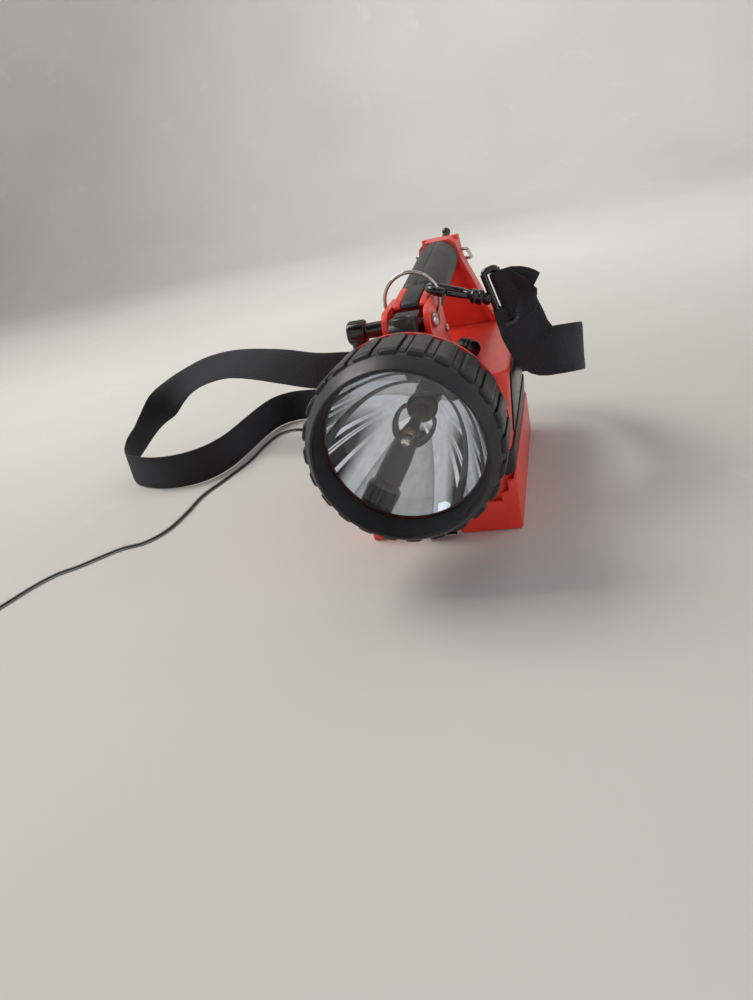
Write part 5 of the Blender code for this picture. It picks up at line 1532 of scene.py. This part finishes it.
class LANTERN_OT_head(bpy.types.Operator):
    """Makes the head's shell, its cup-like lug, the lead's sleeve and the pivot bolt"""

    bl_idname = "lantern.head"
    bl_label = "Head"

    def execute(self, context):
        outside = [(0.0588, 0.0205), (0.0588, 0.0393), (0.0628, 0.0394), (0.0628, 0.0418)]
        outside += flowing_profile(
            [
                (0.0622, 0.0428), (0.0600, 0.0442), (0.0592, 0.0480), (0.0580, 0.0560), (0.0530, 0.0670),
                (0.0450, 0.0770), (0.0330, 0.0855), (0.0180, 0.0905), (0.0, 0.0925),
            ]
        )
        inside = [
            (0.0, 0.0890), (0.0170, 0.0878), (0.0310, 0.0828), (0.0425, 0.0750), (0.0500, 0.0655),
            (0.0548, 0.0550), (0.0562, 0.0430), (0.0562, 0.0205),
        ]
        profile = [(0.0562, 0.0205), *outside, *inside[:-1], (0.0562, 0.0430)]
        open_shell = turned(profile, HEAD, Y_AXIS, 144)
        piece("head_cover", open_shell, "orange_plastic", "head", ("head_shell",), 40)
        refined("lug_block", "head_lug", "black_plastic", 0.0012, 4, Matrix.Diagonal((LUG_SHARE, 1, 1, 1)))
        cup = [
            (0.0063, 0.0), (0.0063, 0.0168), (0.0070, 0.0178), (0.0082, 0.0180), (0.0092, 0.0170),
            (0.0094, 0.0100),
        ]
        cup += [(0.0094, 0.0), (0.0063, 0.0)]
        lean = Vector((0, 0.10, 1)).normalized()
        cup_shape = turned(rounded(cup, 0.0009, 4), Vector((0, -0.1080, 0.1500)), lean, 64)
        piece("lug_cup", cup_shape, "black_plastic", "head")
        refined("lead_gland", "lead_sleeve", "gloss", 0.0008, 4)
        bolt_start = Vector((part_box("pivot_bolt")[1].x, PIVOT.y, PIVOT.z))
        reach = bolt_start.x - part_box("pivot_bolt")[0].x
        profile = [
            (0.0, -reach), (0.0030, -reach), (0.0030, -0.0030), (0.0052, -0.0030), (0.0052, -0.0016),
            (0.0046, -0.0007),
        ]
        profile += [(0.0036, -0.0001), (0.0025, 0.0), (0.0022, -0.0010), (0.0, -0.0010)]
        piece(
            "hinge_bolt", turned(rounded(profile, 0.0003, 3), bolt_start, X_AXIS, 48), "nickel_steel",
            "lantern", ("pivot_bolt",), 40,
        )
        return {"FINISHED"}


class LANTERN_OT_lamp(bpy.types.Operator):
    """Makes the lens with its seal, the mirror bowl, and the lamp in its socket"""

    bl_idname = "lantern.lamp"
    bl_label = "Lamp"

    def execute(self, context):
        lens = [
            (0.0, 0.0103), (0.0560, 0.0103), (0.0570, 0.0108), (0.0570, 0.0142), (0.0566, 0.0145),
            (0.0, 0.0145),
        ]
        piece("lens_disc", turned(lens, HEAD, Y_AXIS, 144), "clear_lens", "head", ("lens",), 30)
        seal = [
            (0.0506, 0.0150), (0.0566, 0.0150), (0.0568, 0.0166), (0.0524, 0.0169), (0.0506, 0.0168),
            (0.0506, 0.0150),
        ]
        # The seal's red is a painted reflection of the body, seen round the lens edge.
        piece(
            "lens_seal", turned(rounded(seal, 0.0004, 2), HEAD, Y_AXIS, 144), "seal", "head",
            ("lens_gasket",), 40,
        )

        neck, rim, depth, apex = 0.0085, 0.0502, 0.0520, 0.0693
        radii = [neck + (rim - neck) * (step / 40) ** 0.8 for step in range(41)]
        bowl = [(radius, apex - radius * radius / (rim**2 / depth)) for radius in radii]
        outer = [(radius + 0.0009, along + 0.0012) for radius, along in reversed(bowl)]
        profile = [
            *bowl, (0.0510, 0.0175), (0.0568, 0.0175), (0.0570, 0.0200), (0.0520, 0.0202), *outer[1:],
            bowl[0],
        ]
        piece(
            "mirror_bowl", turned(profile, HEAD, Y_AXIS, 160), "reflector_mirror", "head",
            ("reflector",), 40,
        )

        foot = [
            (0.0, 0.0296), (0.0022, 0.0294), (0.0034, 0.0290), (0.0040, 0.0291), (0.0041, 0.0340),
            (0.0, 0.0340),
        ]
        body = [
            (0.0, 0.0330), (0.0040, 0.0330), (0.0042, 0.0312), (0.0046, 0.0312), (0.0046, 0.0390),
            (0.0036, 0.0400), (0.0036, 0.0640), (0.0033, 0.0645),
        ]
        body += [(0.0033, 0.0780), (0.0, 0.0780)]
        piece(
            "lamp_foot", turned(rounded(foot, 0.0004, 3), HEAD, Y_AXIS, 40), "lamp_ceramic", "head",
            (), 40,
        )
        piece(
            "lamp_sleeve", turned(rounded(body, 0.0003, 3), HEAD, Y_AXIS, 48), "gloss", "head",
            ("lamp_base",), 40,
        )
        glass = [(0.0, 0.0160), (0.0008, 0.0161), (0.0018, 0.0167), (0.0029, 0.0183), (0.0035, 0.0210)]
        glass += [(0.0034, 0.0240), (0.0028, 0.0268), (0.0023, 0.0287)]
        capsule = turned([*flowing_profile(glass), (0.0, 0.0287)], HEAD, Y_AXIS, 48)
        piece("lamp_capsule", capsule, "capsule", "head", ("lamp_bulb",), 40)
        coil = []
        for step in range(120):
            angle = 2 * math.pi * step / 10
            swing = Vector((0.0, 0.0003 * math.cos(angle), 0.0003 * math.sin(angle)))
            coil.append(HEAD + Vector((-0.0014 + 0.0028 * step / 119, 0.0215, 0.0)) + swing)
        legs = []
        for end, side in ((0, -1), (-1, 1)):
            bend = coil[end] + Vector((0.0003 * side, 0.0030, 0))
            legs.append(flowing([coil[end], bend, HEAD + Vector((0.0010 * side, 0.0292, 0))], 0.0008))
        wires = joined(skin(tube_rings(coil, 0.00009, 5)), *(skin(tube_rings(leg, 0.00014, 6)) for leg in legs))
        piece("lamp_filament", wires, "nickel_steel", "head", (), 60)
        refined("lamp_holder", "lamp_socket", "black_plastic", 0.0004, 2)
        refined("holder_spring", "socket_spring", "nickel_steel", 0.0001, 1)
        return {"FINISHED"}


class LANTERN_OT_ring(bpy.types.Operator):
    """Makes the lamp ring: its sloping front band and the grip blocks round it"""

    bl_idname = "lantern.ring"
    bl_label = "Lamp ring"

    def execute(self, context):
        size = sizes()
        lip = [
            (0.0513, 0.0108),
            (0.0519, 0.0000),
            (0.0526, -0.0086),
            (0.0531, -0.0096),
            (0.0540, -0.0100),
            (0.0549, -0.0094),
            (0.0576, -0.0048),
            (0.0601, -0.0006),
        ]
        hidden = [
            (0.0618, 0.0390),
            (0.0592, 0.0390),
            (0.0592, 0.0202),
            (0.0575, 0.0200),
            (0.0575, 0.0111),
            (0.0513, 0.0111),
        ]
        core = [*rounded(lip, 0.0008, 4), (0.0608, 0.0012), (0.0610, 0.0060), (0.0612, 0.0372), *hidden, lip[0]]
        body = turned(core, HEAD, Y_AXIS, 192)
        step = 2 * math.pi / size.blocks
        blocks = []
        low = 0.0604
        for middle, share, high, near in (
            (0.0, 0.60, 0.0636, 0.0008),
            (0.5, 0.28, 0.0636 - size.block_height, 0.0030),
        ):
            half = step * share / 2
            outline = [(low, 0.0250), (low, near), (high - 0.0010, near + 0.0004), (high, near + 0.0040)]
            outline = rounded([*outline, (high, 0.0376), (low, 0.0382), (low, 0.0250)], 0.0006, 3)[:-1]
            rings = []
            for index in range(11):
                angle = (index / 5 - 1) * half + middle * step
                drop = (0.0006, 0.0001)[min(index, 10 - index)] if min(index, 10 - index) < 2 else 0.0
                ring = []
                for radius, along in outline:
                    radius -= drop * min(1.0, max(0.0, (radius - low) / 0.001))
                    ring.append(Vector((radius * math.sin(angle), along, radius * math.cos(angle))))
                rings.append(ring)
            blocks.append(skin(rings))
        ring = copied_round(
            joined(*blocks), size.blocks, Matrix.Translation(HEAD), "black_rubber", step * 0.25
        )
        piece("lamp_ring", joined(body, ring), "black_rubber", "bezel", ("bezel_ring",), 32)
        return {"FINISHED"}


class LANTERN_OT_knob(bpy.types.Operator):
    """Makes the tilt knob: its ribbed hub and wing"""

    bl_idname = "lantern.knob"
    bl_label = "Tilt knob"

    def execute(self, context):
        size = sizes()
        start = Vector(JOINTS["knob_turn"]["pos_m"])
        hub = [
            (0.0033, 0.0), (0.0055, 0.0), (0.0056, 0.0006), (0.0053, 0.0130), (0.0062, 0.0136),
            (0.0078, 0.0140), (0.0080, 0.0150),
        ]
        hub += [(0.0080, 0.0252), (0.0074, 0.0264), (0.0050, 0.0268), (0.0033, 0.0258), (0.0033, 0.0)]
        body = turned(rounded(hub, 0.0006, 3), start, -X_AXIS, 64)
        rib = slab(
            [(-0.0007, -0.0004), (0.0007, -0.0004), (0.0004, 0.0006), (-0.0004, 0.0006)], lambda x, z,
            y: Vector((x, y, 0.0078 + z)), 0.0148, 0.0250,
        )
        turn = Matrix.Translation(start) @ (-X_AXIS).to_track_quat("Y", "Z").to_matrix().to_4x4()
        ribs = copied_round(rib, size.knob_ribs, turn, "gloss")
        wing_line = [
            (-0.0058, 0.0040), (0.0058, 0.0040), (0.0068, -0.0110), (0.0040, -0.0175), (-0.0040, -0.0175),
            (-0.0068, -0.0110),
        ]
        wing = slab(wing_line, lambda y, z, x: Vector((start.x - x, PIVOT.y + y, PIVOT.z + z)), 0.0150, 0.0245)
        piece(
            "knob", joined(body, ribs, eased(wing, 0.0022, 5)), "gloss", "knob",
            ("tilt_knob",), 40,
        )
        return {"FINISHED"}


# ---------------------------------------------------------------- inside


class LANTERN_OT_inside(bpy.types.Operator):
    """Gives the battery, its pad, the charge board, the studs and the screws below their finishes"""

    bl_idname = "lantern.inside"
    bl_label = "Inside"

    def execute(self, context):
        finishes = {
            "battery": "battery_case",
            "battery_pad": "foam_pad",
            "battery_tab_minus": "contact_brass",
            "battery_tab_plus": "contact_brass",
            "charge_board": "circuit_board",
            "charge_stud_left": "contact_brass",
            "charge_stud_right": "contact_brass",
            "switch_body": "black_plastic",
        }
        for name, obj in frame["nodes"].items():
            finish = "nickel_steel" if name.startswith("base_screw") else finishes.get(name)
            if finish:
                obj.data.materials.clear()
                obj.data.materials.append(material_of(finish))
        return {"FINISHED"}


# ---------------------------------------------------------------- panel and main


OPERATORS = (
    LANTERN_OT_stage,
    LANTERN_OT_lead,
    LANTERN_OT_strap,
    LANTERN_OT_hooks,
    LANTERN_OT_case,
    LANTERN_OT_tray,
    LANTERN_OT_handle,
    LANTERN_OT_switch,
    LANTERN_OT_head,
    LANTERN_OT_lamp,
    LANTERN_OT_ring,
    LANTERN_OT_knob,
    LANTERN_OT_inside,
)


class LANTERN_PT_panel(bpy.types.Panel):
    """Lists the lantern's sizes, colours and pieces"""

    bl_idname = "LANTERN_PT_panel"
    bl_label = "Box hand lantern"
    bl_space_type = "VIEW_3D"
    bl_region_type = "UI"
    bl_category = "Lantern"

    def draw(self, context):
        for group in (context.scene.lantern_sizes, context.scene.lantern_colours):
            box = self.layout.box()
            for name in group.__annotations__:
                box.prop(group, name)
        for operator in OPERATORS:
            self.layout.operator(operator.bl_idname)


CLASSES = (LanternColours, LanternSizes, *OPERATORS, LANTERN_PT_panel)


def register():
    for item in CLASSES:
        bpy.utils.register_class(item)
    bpy.types.Scene.lantern_colours = PointerProperty(type=LanternColours)
    bpy.types.Scene.lantern_sizes = PointerProperty(type=LanternSizes)


def unregister():
    del bpy.types.Scene.lantern_colours
    del bpy.types.Scene.lantern_sizes
    for item in reversed(CLASSES):
        bpy.utils.unregister_class(item)


def main():
    register()
    for operator in OPERATORS:
        name = operator.bl_idname.split(".")[1]
        getattr(bpy.ops.lantern, name)()


if __name__ == "__main__":
    main()
